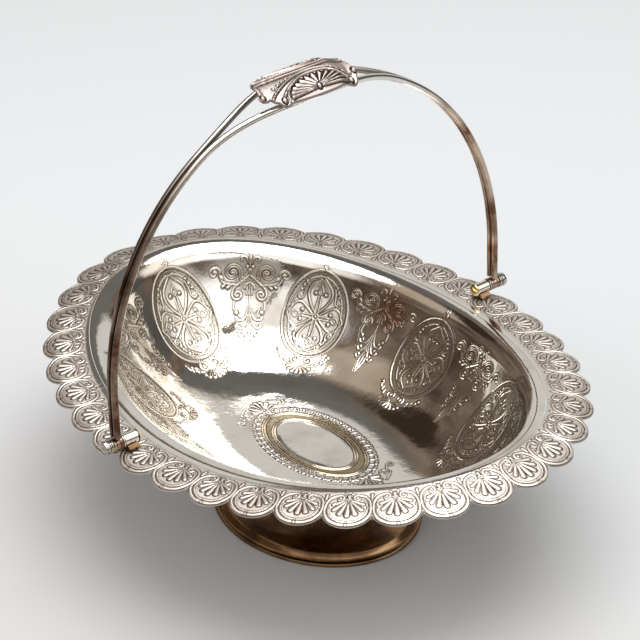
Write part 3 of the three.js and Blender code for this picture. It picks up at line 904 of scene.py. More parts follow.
def chased_pendant() -> Relief:
    """The ornament between two medallions: a crown, pairs of scrolls and a long leafy drop.

    Returns:
        The drawing.
    """
    art = Relief((-24, -60), (24, 6))
    art.line((1, 0.3), (0, -4), (0, -2.4), (0, 0.2), height=0.35)
    art.line(0.55, (0.8, -4.6), (2.4, -1.8), (4.6, -2.2), (4.2, -3.8))
    art.line(0.4, (0, -4.5), (0, -6))
    art.dot(0.8, (1.4, -6.5))
    art.coil(0.85, (8.8, -9.6), 4.1, 1, (4, -13), (1.2, -10.5), (0, -8.2), height=0.34, tool=Tool.TWIN)
    art.coil(0.55, (18.2, -9.4), 3, 1, (15.2, -11.6), (12.7, -14.3), (5.5, -15.6), height=0.32)
    art.line((0.9, 0.4), (14.6, -11.4), (13.6, -12.6))
    art.line((0.9, 0.4), (11, -16.6), (9.3, -15.4))
    art.line((0.9, 0.4), (13.4, -16), (12.2, -14.8))
    art.coil(0.6, (6, -20.3), 2.8, 1, (7.6, -16.8), (3, -13), (0.4, -10.8), turns=1.5, height=0.32)
    for across in (0, 1.1):
        art.line(0.35, (across, -15.2), (1.3 * across, -20.2))
    art.line(0.5, (0, -14.2), (1.9, -15.4), (2.5, -17.2))
    art.line(0.5, (7.6, -23.4), (7.9, -26.6), (6.6, -28.8))
    art.dot(1.0, (6.4, -29))
    art.line(0.35, (0, -21), (0, -36))
    for low, out in ((-32.3, 6.4), (-36.4, 5.8), (-40.7, 4.8)):
        leaf = (0.7, low + 6), (1.4, low + 2.6), (3, low - 0.2), (out - 1, low - 0.6), (out, low + 0.6)
        art.line((0.3, 0.7), *leaf)
        art.line((0.3, 0.5), (out - 2.2, low + 0.9), (out - 1.4, low + 1.9))
    art.line(0.45, (0, -36), (1.5, -40.5), (1.1, -45), (0, -49.6))
    art.line(0.3, (0, -38), (0, -47))
    return art.reflected()


def chased_well(form: BowlForm) -> Relief:
    """The floor: double lines about a punched band, a ring of little scrolls, a palmette at each end.

    Args:
        form: The bowl's form, whose ovals the lines follow.

    Returns:
        The drawing.
    """
    art = Relief((-54, -36), (54, 36), 0.15)
    x, y = art.grid()
    lines = (26.4, 27.6, 32.4, 33.0, 36.4)
    ovals = [form.semi_axes(semi - form.lip_semi_length) for semi in lines]
    first, inner, outer, second, middle = ovals
    band = (np.hypot(x / outer[0], y / outer[1]) < 1) & (np.hypot(x / inner[0], y / inner[1]) > 1)
    art.stipple(band, 0.75)
    for semi in (first, second):
        art.stroke(oval((0, 0), semi), 0.9, 0.42, Tool.TWIN)
    track = oval((0, 0), middle)
    places = evenly(track, track, 2 * WELL_SCROLLS)
    for at, onward in zip(places[:-1:2], np.diff(places, axis=0)[::2]):
        out = np.array([onward[1], -onward[0]]) / np.linalg.norm(onward)
        rise = [at + 1.7 * out, at + 0.5 * onward + 2.1 * out]
        art.line((0.7, 0.4), *rise, at + onward + 0.6 * out, at + 0.8 * onward - 1.2 * out, height=0.42)
    for turn in np.radians((0, 26, 52, 78)):
        root = (39.5 + 1.5 * math.cos(turn), 1.5 * math.sin(turn))
        tip = (40 + 7.5 * math.cos(turn), 5.6 * math.sin(turn))
        art.line((0.4, 0.95), root, tip, height=0.34)
    art.coil(0.5, (40.6, 9.4), 2.2, -1, (42.6, 12), (45, 9), (46.5, 6.6))
    art.coil(0.45, (37.6, 16), 1.8, 1, (38.8, 12.8), (40.4, 11.8), height=0.28)
    for side in (art.raised, art.sunk):
        side += side[::-1] * (side == 0)
    return art.reflected()


@dataclass
class Bowl:
    """The raised bowl: one closed shell, under the thin chased skins of its well and wall."""

    form: BowlForm
    columns: int = 384
    pocket: float = 0.45
    skin_lift: float = 0.03
    relief_share: float = 0.54
    tarnish_and_shade_share: float = 0.7
    halo_share: float = 0.28
    well_edge: float = 58.0
    wall_edge: float = 143.0
    well_columns: int = 640
    gilt_line: float = 29.8
    gilt_half_width: float = 4.6
    gilt_most: float = 0.6
    shell_rows: tuple[int, int, int] = (12, 36, 22)
    chased_from: float = 24.0
    chased_to: float = 44.0
    well_rows: tuple[int, int, int] = (10, 70, 34)
    fine_steps: int = 4600
    fine_overlap: float = 0.7
    panel_rows: int = 230
    panel_columns: int = 116
    motif_count: int = 16
    plan_steps: int = 3600
    copper_panel: int = 6
    copper_share: float = 0.75
    copper_place: Pair = (-5.0, -11.0)
    copper_reach: Pair = (12.0, 14.0)
    share_reaches: tuple[float, float, float] = (98.0, 111.0, 126.0)
    medallion_shares: tuple[float, float, float] = (0.56, 0.52, 0.44)
    medallion_reach: float = 111.0
    pendant_reach: float = 138.0
    seam_fade: float = 0.8

    def build(self) -> None:
        """Makes the shell and its chased skins."""
        self.shell()
        self.well()
        self.wall()

    def shell(self) -> None:
        """The closed shell of the bowl, sunk a little where a chased skin lies over it."""
        form, angle = self.form, circle(self.columns)
        floor_rows, wall_rows, lip_rows = self.shell_rows
        reach = np.concatenate([
            np.linspace(0, self.well_edge, floor_rows),
            np.linspace(self.well_edge, self.wall_edge - 3, wall_rows)[1:],
            np.linspace(self.wall_edge - 2, run_along(form.profile())[-1], lip_rows),
        ])
        sunk = np.where(reach < self.wall_edge - 2.5, self.pocket, 0)
        inner = [form.skin(np.full_like(angle, r), angle, s) for r, s in zip(reach, sunk)]
        outer = [form.skin(np.full_like(angle, r), angle, form.sheet) for r in reach[::-1]]
        shell = wrapped_grid("bowl_shell", np.array(inner + outer))
        weld(shell)
        dress(shell, POLISHED_PLATE, Body.BASKET, "silver_plate", "bowl", edge_degrees=50)

    def chased(self, name: str, base: Array, height: Array, **marks: Array) -> None:
        """Lays a thin skin over the shell and drives an ornament into it.

        Args:
            name: The piece's name.
            base: Rows outwards, columns anticlockwise, xyz.
            height: Relief at each point.
            marks: Values from 0 to 1 at each point.
        """
        normal = unit(np.cross(np.gradient(base, axis=0), np.gradient(base, axis=1)))
        normal[0] = np.where(np.abs(normal[0]).sum(-1, keepdims=True) < 0.5, [0, 0, 1], normal[0])
        skin = base + normal * (self.skin_lift + self.relief_share * height)[..., None]
        marks = {key: value[:, ::-1] for key, value in marks.items()}
        piece = wrapped_grid(name, skin[:, ::-1], **marks)
        weld(piece, closed=False)
        dress(piece, POLISHED_PLATE, Body.BASKET, "silver_plate")

    def well(self) -> None:
        """The chased floor."""
        art, edge = chased_well(self.form), self.well_edge
        rings = (0, self.chased_from, self.chased_to, edge)
        steps = [np.linspace(*span)[1:] for span in zip(rings, rings[1:], self.well_rows)]
        reach = np.concatenate([[0.0], *steps])[:, None]
        base = self.form.skin(reach, circle(self.well_columns)[None, :])
        x, y = base[..., 0], base[..., 1]
        fade = np.clip((edge - reach) / self.seam_fade, 0, 1)
        band = np.clip(hump(reach + 0 * x, self.gilt_line, self.gilt_half_width), 0, self.gilt_most)
        # Tarnish in the sunk lines, painted shade at the foot of the relief.
        tarnish = fade * art.sample(art.dirt_and_shade(self.tarnish_and_shade_share), x, y)
        self.chased("bowl_well", base, fade * art.sample(art.height(), x, y), tarnish=tarnish, gilt=band)

    def wall(self) -> None:
        """The sixteen chased panels of the wall, medallion and pendant in turn."""
        reach = np.linspace(self.well_edge, self.wall_edge, self.panel_rows)
        fine = np.linspace(-self.fine_overlap, FULL_TURN + self.fine_overlap, self.fine_steps + 1)
        base = self.form.skin(reach[:, None], fine[None, :])
        run = run_along(base)
        axes = self.motif_axes(reach, fine, base)
        arc = np.array([[np.interp(a, fine, run[r]) for a in axes[:, r]] for r in range(len(reach))]).T
        share = np.interp(reach, self.share_reaches, self.medallion_shares)
        arts = [(chased_medallion(), self.medallion_reach), (chased_pendant(), self.pendant_reach)]
        # Tarnish in the sunk lines, painted shade at the foot of the relief.
        layers = [(art, art.height(), art.dirt_and_shade(self.tarnish_and_shade_share), art.halo(), at) for art, at in arts]
        for here in range(1, self.motif_count + 1):
            art, height, dirt_and_shade, halo, at = layers[(here - 1) % 2]
            own = share if here % 2 else 1 - share
            start = (arc[here] - own * (arc[here] - arc[here - 1]))[:, None]
            end = (arc[here] + own * (arc[here + 1] - arc[here]))[:, None]
            spread = start + (end - start) * np.linspace(0, 1, self.panel_columns)
            angle = np.array([np.interp(spread[r], run[r], fine) for r in range(len(reach))])
            panel = self.form.skin(reach[:, None], angle)
            x = spread - arc[here][:, None]
            y = (reach - at)[:, None] + 0 * x
            ends = np.minimum(reach - self.well_edge, self.wall_edge - reach)[:, None]
            near = np.minimum(np.minimum(spread - start, end - spread), ends)
            fade = np.clip(near / self.seam_fade, 0, 1)
            marks = {
                "tarnish": fade * art.sample(dirt_and_shade, x, y),
                "gilt": self.halo_share * fade * art.sample(halo, x, y),
            }
            if here == self.copper_panel:
                (left, low), (wide, high) = self.copper_place, self.copper_reach
                marks["copper"] = self.copper_share * fade * hump(x, left, wide) * hump(y, low, high)
            self.chased(f"wall_panel_{here:02d}", panel, fade * art.sample(height, x, y), **marks)

    def motif_axes(self, reach: Array, fine: Array, base: Array) -> Array:
        """Lines square to the ovals through evenly spaced places round the wall.

        Args:
            reach: Reach of each row.
            fine: Angles of the columns of the base.
            base: Points of the wall.

        Returns:
            Angle of each line at each row, with one line more at both ends.
        """
        outwards, onwards = np.gradient(base, reach, axis=0), np.gradient(base, fine, axis=1)
        turn = -(outwards * onwards).sum(-1) / (onwards ** 2).sum(-1)
        middle = int(np.argmin(np.abs(reach - self.medallion_reach)))
        once = circle(self.plan_steps)
        starts = evenly(self.form.skin(np.full_like(once, reach[middle]), once), once, self.motif_count)
        starts = np.concatenate([[starts[-2] - FULL_TURN], starts])
        axes = np.zeros((len(starts), len(reach)))
        axes[:, middle] = starts
        step = reach[1] - reach[0]
        for way, last in ((1, len(reach)), (-1, -1)):
            for row in range(middle + way, last, way):
                before = axes[:, row - way]
                axes[:, row] = before + way * step * np.interp(before, fine, turn[row - way])
        return axes


# The border


@dataclass(frozen=True)
class BorderForm:
    """The flange of 36 scallops that droops from the seam to its edge."""

    bowl: BowlForm
    end_width: float = 19.5
    side_width: float = 23.4
    notch_drop: float = 2.1
    notch_dip: float = 3.4
    bend: float = 1.3
    droop: float = 0.28
    count: int = 36
    bulge: float = 6.0
    sheet: float = 1.2
    gap: float = 0.3
    plan_steps: int = 20000

    @property
    def notch_axes(self) -> Pair:
        """Semi-axes of the line through the notches."""
        return self.bowl.lip_semi_length + self.end_width, self.bowl.lip_semi_width + self.side_width

    @property
    def half_pitch(self) -> float:
        """Half the width of a scallop."""
        return math.pi * sum(self.notch_axes) / self.count / 2

    def even_angles(self, per_scallop: int) -> Array:
        """Angles at equal steps along the notch line, from the -Y side once round."""
        fine = np.linspace(-math.pi / 2, 1.5 * math.pi, self.plan_steps + 1)
        return evenly(on_oval(*self.notch_axes, fine), fine, self.count * per_scallop)

    def edge(self, side: Array) -> Array:
        """How far a scallop stands outside the notch line.

        Args:
            side: Place across it, from -1 to 1.

        Returns:
            The distance in millimetres.
        """
        half = self.half_pitch
        radius = (half ** 2 + self.bulge ** 2) / (2 * self.bulge)
        return np.sqrt(radius ** 2 - (side * half) ** 2) - radius + self.bulge

    def flange(self, angle: Array, outward: Array, relief: Array) -> Array:
        """Points over the flange.

        Args:
            angle: Place round the oval.
            outward: Distance outside the notch line.
            relief: Height over the sheet.

        Returns:
            Points in millimetres.
        """
        bowl, (notch_length, notch_width) = self.bowl, self.notch_axes
        out = bowl.seam_from_lip + self.gap
        start = on_oval(bowl.lip_semi_length + out, bowl.lip_semi_width + out, angle)
        end = on_oval(notch_length, notch_width, angle)
        share = np.clip(1 + outward / np.linalg.norm(end - start, axis=-1), 0, 1)
        beyond = np.maximum(outward, 0)
        away = unit(on_oval(1 / notch_length, 1 / notch_width, angle))
        seam = float(bowl.profile()[-1, 1])
        notch = bowl.lip_height - self.notch_drop
        lift = (bowl.lip_dip + share * (self.notch_dip - bowl.lip_dip)) * np.cos(2 * angle)
        fall = (seam - notch) * share ** self.bend + beyond * self.droop
        plan = start + share[..., None] * (end - start) + away * beyond[..., None]
        return np.concatenate([plan, (seam - fall + lift + relief)[..., None]], -1)


def stamped_scallop() -> Relief:
    """One scallop: a rim that curls into two volutes, a finer line inside it, and seven drops.

    Returns:
        The drawing.
    """
    art = Relief((-11.4, -14.6), (11.4, 6.8), 0.1)
    rim = (8, -11.4), (9.9, -8.6), (10.5, -5), (10.1, -1.2), (8.1, 2.1), (4.5, 4.4), (0, 5.1)
    art.coil(0.65, (4.1, -10.7), 2.1, 1, *rim, height=0.62)
    inner = (6.9, -9.6), (8.3, -7.6), (8.9, -5), (8.5, -2), (6.8, 0.9), (3.8, 2.9), (0, 3.5)
    art.line(0.36, *inner, height=0.4)
    art.dot(0.7, (4.1, -10.7), height=0.6)
    for tip, width in (((0, -0.2), 1.1), ((3.5, -1.1), 1.05), ((6.2, -3.5), 0.95), ((7, -6.8), 0.8)):
        root = (0.16 * tip[0], -9.8 + 0.16 * (tip[1] + 9.8))
        art.line((0.36, width), root, tip, height=0.6)
    art.line((0.8, 0.35), (0, -12.6), (0, -10.4), height=0.5)
    art.line(0.4, (2, -14), (0.9, -12.6), (0.6, -11.2), height=0.4)
    art.line((0.8, 0.4), (11.1, -12.8), (11.1, -9.8), height=0.5)
    return art.reflected()


@dataclass
class RimBorder:
    """The stamped border, in a front and a back half."""

    form: BorderForm
    per_scallop: int = 60
    medallion_rows: int = 54
    ornament_from: float = 14.2
    plain_rows: Pair = (3.0, 1.4)
    past_seam: float = 40.0
    edge_fade: float = 12.0
    dirt_and_shade_strength: float = 1.1
    dirt_and_shade_reach: float = 0.45
    edge_trim: float = 0.03
    relief_share: float = 0.42

    def build(self) -> None:
        """Makes both halves."""
        angles = self.form.even_angles(self.per_scallop)
        half = self.form.count * self.per_scallop // 2
        for name, first, nodes in (("front", 0, ["rim_border"]), ("back", half, [])):
            piece = self.half(f"rim_border_{name}", angles[first:first + half + 1])
            dress(piece, STAMPED_PLATE, Body.BASKET, "stamped_silver", *nodes, edge_degrees=50)

    def half(self, name: str, angles: Array) -> Piece:
        """One closed half of the border, from hinge to hinge.

        Args:
            name: The piece's name.
            angles: Place of each column.

        Returns:
            The half.
        """
        form, art = self.form, stamped_scallop()
        side = 2 * (np.arange(len(angles)) % self.per_scallop) / self.per_scallop - 1
        edge, across = form.edge(side) - self.edge_trim, side * form.half_pitch
        # Tarnish in the sunk lines, painted shade at the foot of the relief.
        height, dirt_and_shade = art.height(), art.dirt_and_shade(self.dirt_and_shade_strength, self.dirt_and_shade_reach)
        level, none = np.full(len(angles), -self.ornament_from), np.zeros(len(angles))
        seam, under = none - self.past_seam, none - form.sheet
        layout = [(seam, under, none), (seam, none, none)]
        layout += [(level - row, none, none) for row in self.plain_rows]
        plain = len(layout)
        for share in np.linspace(0, 1, self.medallion_rows):
            outward = level + share * (edge - level)
            fade = min(1, self.edge_fade * (1 - share))
            relief = self.relief_share * art.sample(height, across, outward) * fade
            layout.append((outward, relief, art.sample(dirt_and_shade, across, outward)))
        layout += [(level + share * (edge - level), under, none) for share in (1, 0.8, 0.5, 0.2)]
        layout.append(layout[0])
        rows = np.array([form.flange(angles, outward, relief) for outward, relief, _ in layout])
        polish = np.zeros(rows.shape[:2])
        polish[1:plain] = 1
        tarnish = np.array([marks for _, _, marks in layout])
        piece = wrapped_grid(name, rows, tarnish=tarnish, polish=polish)
        weld(piece, caps=True)
        return piece


# The foot


@dataclass
class Foot:
    """The flared pedestal and the wire round its base."""

    bowl: BowlForm
    semi_length: float = 56.8
    semi_width: float = 46.0
    sheet: float = 1.2
    gap: float = 0.3
    wire_width: float = 2.4
    wire_height: float = 2.0
    wire_bulge: float = 0.4
    wire_fullness: float = 0.7
    skirt_roll: float = 0.9
    step_inset: float = 4.0
    step_height: float = 5.4
    step_chamfer: float = 0.4
    step_tread: float = 1.3
    neck_inset: float = 28.0
    neck_collar: float = 4.5
    neck_flare: float = 1.5
    flare_power: float = 1.1
    columns: int = 384

    def build(self) -> None:
        """Makes the foot and its wire."""
        outside = self.outline()
        along = unit(np.gradient(outside, axis=0))
        inside = outside + self.sheet * np.stack([along[:, 1], -along[:, 0]], -1)
        inside[0, 1], inside[-1, 1] = outside[0, 1], outside[-1, 1]
        foot = self.oval_ring("foot_flare", np.concatenate([outside, inside[::-1]]))
        dress(foot, BRONZED_PLATE, Body.BASKET, "bronzed_plate", "foot", edge_degrees=40)
        turn = circle(16)[:-1]
        middle, half = self.wire_height / 2, (self.wire_width + self.wire_bulge) / 2
        inset = half - self.wire_bulge - half * squared(np.cos(turn), self.wire_fullness)
        height = middle + middle * squared(np.sin(turn), self.wire_fullness)
        wire = self.oval_ring("foot_wire", np.stack([inset, height], -1))
        dress(wire, BRONZED_PLATE, Body.BASKET, "bronzed_plate", "foot_edge_wire")

    def outline(self) -> Array:
        """The outer skin of the foot, from its skirt to its neck.

        Returns:
            Points as (inset, height).
        """
        skirt = self.wire_height + self.gap
        seat = self.bowl.well_height - self.bowl.sheet - self.gap
        tread = np.array([self.step_inset + self.step_tread, self.step_height])
        neck = np.array([self.neck_inset, seat - self.neck_collar])
        turn = np.linspace(0, math.pi / 2, 41)[1:]
        bend = np.stack([np.sin(turn) ** self.flare_power, 1 - np.cos(turn) ** self.flare_power], -1)
        start = [
            (self.wire_width / 2, skirt), (self.wire_width * 0.8, skirt + self.skirt_roll * 0.3),
            (self.wire_width, skirt + self.skirt_roll),
            (self.step_inset - 0.2, self.step_height - self.step_chamfer),
            (self.step_inset + 0.2, self.step_height - 0.08), tread,
        ]
        top = (self.neck_inset - self.neck_flare, seat)
        return np.concatenate([start, tread + bend * (neck - tread), [top]])

    def oval_ring(self, name: str, section: Array) -> Piece:
        """Carries a section round the oval of the foot.

        Args:
            name: The piece's name.
            section: Its points as (inset, height).

        Returns:
            The closed ring.
        """
        angle = circle(self.columns)
        section = np.concatenate([section, section[:1]])
        inset, height = section[:, :1], section[:, 1:]
        plan = on_oval(self.semi_length - inset, self.semi_width - inset, angle)
        piece = wrapped_grid(name, np.concatenate([plan, (height + 0 * angle)[..., None]], -1))
        weld(piece)
        return piece


# The hinges


# Turned pieces of a hinge: (radius, distance along the hinge line from where the piece starts).
BARREL = ((2.65, 0), (2.9, 0.25), (2.9, 7.05), (2.65, 7.3))
INNER_CAP = ((0.35, 0), (1.2, 0.08), (2.0, 0.3), (2.7, 0.62), (3.1, 1.0), (3.2, 1.2), (3.2, 1.5))
WASHER = ((2.95, 0), (3.1, 0.12), (3.1, 0.38), (2.95, 0.5))
EYE = (
    (2.8, 0), (3.1, 0.3), (3.1, 1.4), (2.85, 1.6), (3.1, 1.8),
    (3.1, 3.4), (2.85, 3.6), (3.1, 3.8), (3.1, 4.9), (2.8, 5.2),
)
CAP_GROOVES = tuple(
    (radius, start + at)
    for start in (0.6, 1.5)
    for radius, at in ((3.3, 0), (2.85, 0.16), (2.85, 0.34), (3.3, 0.5))
)
OUTER_CAP = (
    (3.1, 0), (3.3, 0.2), *CAP_GROOVES, (3.3, 3.6), (3.15, 3.95), (2.75, 4.1), (2.5, 3.9), (0.4, 3.9),
)


@dataclass
class Hinge:
    """One hinge: cap, barrel, saddle, washer, eye and outer cap on a hidden pin."""

    side: Side
    notch_width: float = 110.4
    height: float = 82.8764
    setback: float = 8.4
    gap: float = 0.3
    eye_shoulder: float = 0.4
    eye_overhang: float = 0.2
    groove_radius: float = 2.85
    rosette_radius: float = 2.5
    rosette_seat: float = 3.92
    petals: int = 8
    petal_height: float = 0.22
    petal_fullness: float = 0.6

    @property
    def eye_start(self) -> float:
        """Where the eye starts along the hinge line."""
        return self.notch_width - self.setback + BARREL[-1][1] + WASHER[-1][1] + 2 * self.gap

    @property
    def leg_offset(self) -> float:
        """Distance of the leg from the middle of the bowl."""
        return self.eye_start + EYE[-1][1] / 2

    @property
    def leg_foot(self) -> float:
        """Height where the leg starts."""
        return self.height + BARREL[1][0] + self.eye_overhang + self.eye_shoulder + self.gap

    def lay_down(self, piece: Piece) -> None:
        """Lays a piece turned on Z along the hinge line, pointing out from the bowl."""
        turn = Matrix.Rotation(-self.side.value * math.pi / 2, 4, "X")
        piece.data.transform(Matrix.Translation((0, 0, self.height * MM)) @ turn)

    def build(self) -> None:
        """Makes the pieces of the hinge and gives its saddle and pin their finish."""
        end, eye = self.side.name.lower(), self.eye_start
        barrel, cap = self.notch_width - self.setback, eye + EYE[-1][1] + self.gap
        washer, plug = eye - self.gap - WASHER[-1][1], barrel - self.gap - INNER_CAP[-1][1]
        self.round_piece("barrel", barrel, BARREL, POLISHED_PLATE, "silver_plate")
        self.round_piece("inner_cap", plug, INNER_CAP, GILT_CAP, "gilt_plate")
        self.round_piece("washer", washer, WASHER, POLISHED_PLATE, "silver_plate")
        self.round_piece("outer_cap", cap, OUTER_CAP, TURNED_CAP, "bronzed_plate")
        self.rosette(f"rosette_{end}", cap + self.rosette_seat)
        self.round_piece("eye", eye, EYE, WORN_WIRE, "worn_plate", Body.HANDLE)
        BRONZED_PLATE.coat(bpy.data.objects[f"hinge_saddle_{end}"])
        TURNED_CAP.coat(bpy.data.objects[f"hinge_pin_{end}"])

    def round_piece(
        self, name: str, start: float, stations: Sequence[Pair], finish: PlateFinish, slot: str,
        body: Body = Body.BASKET,
    ) -> None:
        """Turns one piece and lays it in the hinge.

        Args:
            name: The piece's name, without its side.
            start: Where it starts along the hinge line.
            stations: Its stations from there.
            finish: Its finish.
            slot: The record's material slot.
            body: The body that carries it, which names its solid.
        """
        end = self.side.name.lower()
        piece = turned(f"{name}_{end}", [(radius, start + at) for radius, at in stations])
        across = np.array([math.hypot(*vertex.co.xy) for vertex in piece.data.vertices]) / MM
        add_mark(piece, "tarnish", np.abs(across - self.groove_radius) < 0.02)
        self.lay_down(piece)
        solid = "handle" if body is Body.HANDLE else "hinge"
        dress(piece, finish, body, slot, f"{solid}_{name}_{end}", edge_degrees=35)

    def rosette(self, name: str, face: float) -> None:
        """The petals that are cut into the outer cap's face.

        Args:
            name: The piece's name.
            face: Where the face lies along the hinge line.
        """
        radius, turn = np.linspace(0, self.rosette_radius, 20)[:, None], circle(128)
        petal = np.abs(np.cos(self.petals / 2 * turn)) ** self.petal_fullness * hump(radius, 1.5, 1.0)
        rise = self.petal_height * np.maximum(petal, hump(radius, 0, 0.55))
        points = np.concatenate([on_oval(radius, radius, turn), (face + rise)[..., None]], -1)
        disc = wrapped_grid(name, points[:, ::-1], tarnish=np.clip(0.9 - 7 * rise, 0, 1))
        weld(disc, closed=False)
        self.lay_down(disc)
        dress(disc, TURNED_CAP, Body.BASKET, "bronzed_plate")


# The handle


@dataclass
class Handle:
    """The two drawn wires of the bail."""

    hinge: Hinge
    wire_width: float = 3.0
    wire_depth: float = 3.2
    inner_fullness: float = 0.7
    leg_length: float = 18.6
    rise: float = 121.8
    power: float = 2.05
    spread: float = 10.0
    spread_reach: float = 60.0
    gap: float = 0.3
    # Painted shade along the groove where the two wires meet.
    groove_tarnish: float = 0.6
    groove_gain: float = 2.2
    groove_from: float = 0.7
    # How much darker the wires grow towards their left end.
    held_tarnish: float = 0.45
    left_end_gain: float = 1.2
    polish_share: float = 0.85
    polish_reach: float = 92.0
    polish_fade: float = 34.0
    steps: int = 420
    section_steps: int = 28
    line_steps: int = 4000

    def arch_height(self, y: Array) -> Array:
        """Height of the wires' centre line.

        Args:
            y: Distance from the middle.

        Returns:
            The height there.
        """
        share = np.clip(np.abs(y) / self.hinge.leg_offset, 0, 1)
        foot = self.hinge.leg_foot + self.leg_length
        return foot + self.rise * (1 - share ** self.power) ** (1 / self.power)

    def half_spread(self, y: Array) -> Array:
        """Distance of a wire's centre line from the middle plane."""
        share = np.clip(np.abs(y) / self.spread_reach, 0, 1)
        return (self.wire_width + self.gap) / 2 + self.spread * np.cos(share * math.pi / 2) ** 2

    def centre_line(self) -> Array:
        """The centre line of the front wire, from the left eye to the right one.

        Returns:
            Points at even steps.
        """
        arch = math.pi * (self.hinge.leg_offset + self.rise) / 4
        along = np.linspace(-1, 1, self.line_steps + 1) * (arch + self.leg_length)
        out = np.abs(along)
        turn = np.minimum(out / arch, 1) * math.pi / 2
        y = self.hinge.leg_offset * np.sign(along) * np.sin(turn) ** (2 / self.power)
        rise = self.rise * np.maximum(np.cos(turn), 0) ** (2 / self.power)
        z = self.hinge.leg_foot + self.leg_length + np.where(out > arch, arch - out, rise)
        line = np.stack([self.half_spread(y), y, z], -1)
        return evenly(line, line, self.steps)

    def build(self) -> None:
        """Makes both wires, rounded outside and flatter where they meet."""
        line = self.centre_line()
        along = unit(np.gradient(line, axis=0))
        across = unit(np.array([1.0, 0, 0]) - along * along[:, :1])
        deep = np.cross(along, across)
        wave, turn = np.cos(circle(self.section_steps)), circle(self.section_steps)
        wide = self.wire_width / 2 * squared(wave, np.where(wave < 0, self.inner_fullness, 1.0))
        thick = self.wire_depth / 2 * np.sin(turn)
        ring = line[:, None] + wide[:, None] * across[:, None] + thick[:, None] * deep[:, None]
        # The wires are given a darker colour towards their left end.
        left = -self.left_end_gain * ring[..., 1] / self.hinge.leg_offset
        # Painted shade darkens the inner side of each wire, in the groove where the wires meet.
        groove = np.clip(-self.groove_gain * wave - self.groove_from, 0, 1)
        tarnish = self.groove_tarnish * groove + self.held_tarnish * np.clip(left, 0, 1)
        tarnish = np.clip(tarnish, 0, 1)
        near = np.clip((self.polish_reach - np.abs(ring[..., 1])) / self.polish_fade, 0, 1)
        for name, sign in (("front", 1), ("back", -1)):
            points = ring * (sign, 1, 1)
            polish = self.polish_share * near
            wire = wrapped_grid(f"wire_{name}", points, tarnish=tarnish, polish=polish)
            weld(wire, caps=True)
            dress(wire, WORN_WIRE, Body.HANDLE, "worn_plate", f"handle_wire_{name}", edge_degrees=60)


# The cartouche

# Edge of the plate in plan, from its left end along the front and back again.
PLATE_EDGE = (
    (0, -29), (3.2, -28.8), (5.6, -29.4), (7.6, -30.8), (9.6, -30.1), (10.3, -28), (10.1, -26.2),
    (11.6, -24.6), (12.3, -22.8), (13.7, -21.5), (14.4, -19.8), (14.2, -17.4), (13.9, -15.4),
    (14.2, -10), (14.4, 0), (14.2, 9.6), (13.7, 14.6), (14.1, 17), (14, 19.4), (13, 21.2), (11.6, 21.8),
    (10.4, 22.6), (9.4, 23.6), (7.8, 23.4), (6, 22.6), (4, 22.6), (2, 21.8), (0, 21.2), (-3, 20.8),
    (-6.5, 20), (-9.5, 18.6), (-12, 16.4), (-13.6, 12), (-14.3, 6), (-14.4, 0), (-14.2, -6),
    (-13.4, -11), (-11, -14.8), (-8.4, -18.4), (-6, -21.6), (-4.4, -24.6), (-2.6, -27.6),
)


def cast_plate() -> Relief:
    """Half of the plate: a fan in an arched band, volutes, a plain field and a rail, then its mirror.

    Returns:
        The drawing.
    """
    art = Relief((-15, -32), (15, 32), 0.1)
    x, y = art.grid()
    art.stipple((x > 1.8) & (y < -9) & (x < 0.35 * (-y) - 0.4), 0.9, 0.04)
    art.line(0.5, (1.1, -28.6), (1.1, 20.6), height=0.8)
    art.line(0.45, (0, -28.6), (0, 20.6), height=0.35, tool=Tool.LINE)
    art.stroke(oval((13.4, 0.4), (7.8, 17.6), 90, 270), 0.42, 0.5)
    for turn in np.radians(np.linspace(-82, 82, FAN_RIBS)):
        inwards, along = math.cos(turn), math.sin(turn)
        root = (12.4 - 1.2 * inwards, 0.4 + 1.5 * along)
        tip = (13.4 - 6.5 * inwards, 0.4 + 15.6 * along)
        art.line((0.3, 0.6 + 0.65 * inwards), root, tip, height=0.75)
    art.dot(0.95, (11.9, 0.4), height=0.9)
    outer = (11.2, -25.4), (8.6, -21.4), (4.9, -12.8), (2.7, -4), (2.6, 3), (4.7, 10.4), (9.4, 19.6)
    art.line(0.5, *outer, height=0.6)
    inner = (12.6, -20.6), (8.2, -14), (4.6, -3.9), (4.8, 6.4), (8.4, 13.6), (12.2, 18)
    art.line(0.5, *inner, height=0.6)
    art.dot(1.0, (12.5, -19.6), (12.2, 18.2), height=0.8)
    art.line(0.3, (7, -23), (5.4, -18), (3.2, -12), (2.6, -8.6), height=0.35)
    art.dot(0.6, (6.2, -21.4), (5.3, -18.4), (4.3, -15.4), (3.4, -12.4), height=0.45)
    art.dot(0.6, (5.6, 13), (6.8, 15.6), (8, 18.2), (4.4, 10.2), height=0.5)
    art.dot(1.1, (8.6, -29), (8.4, 22.4), height=0.8)
    art.line(0.35, (2.6, -27.4), (5.4, -27.8), (7.4, -28.4), height=0.4)
    return art.reflected()


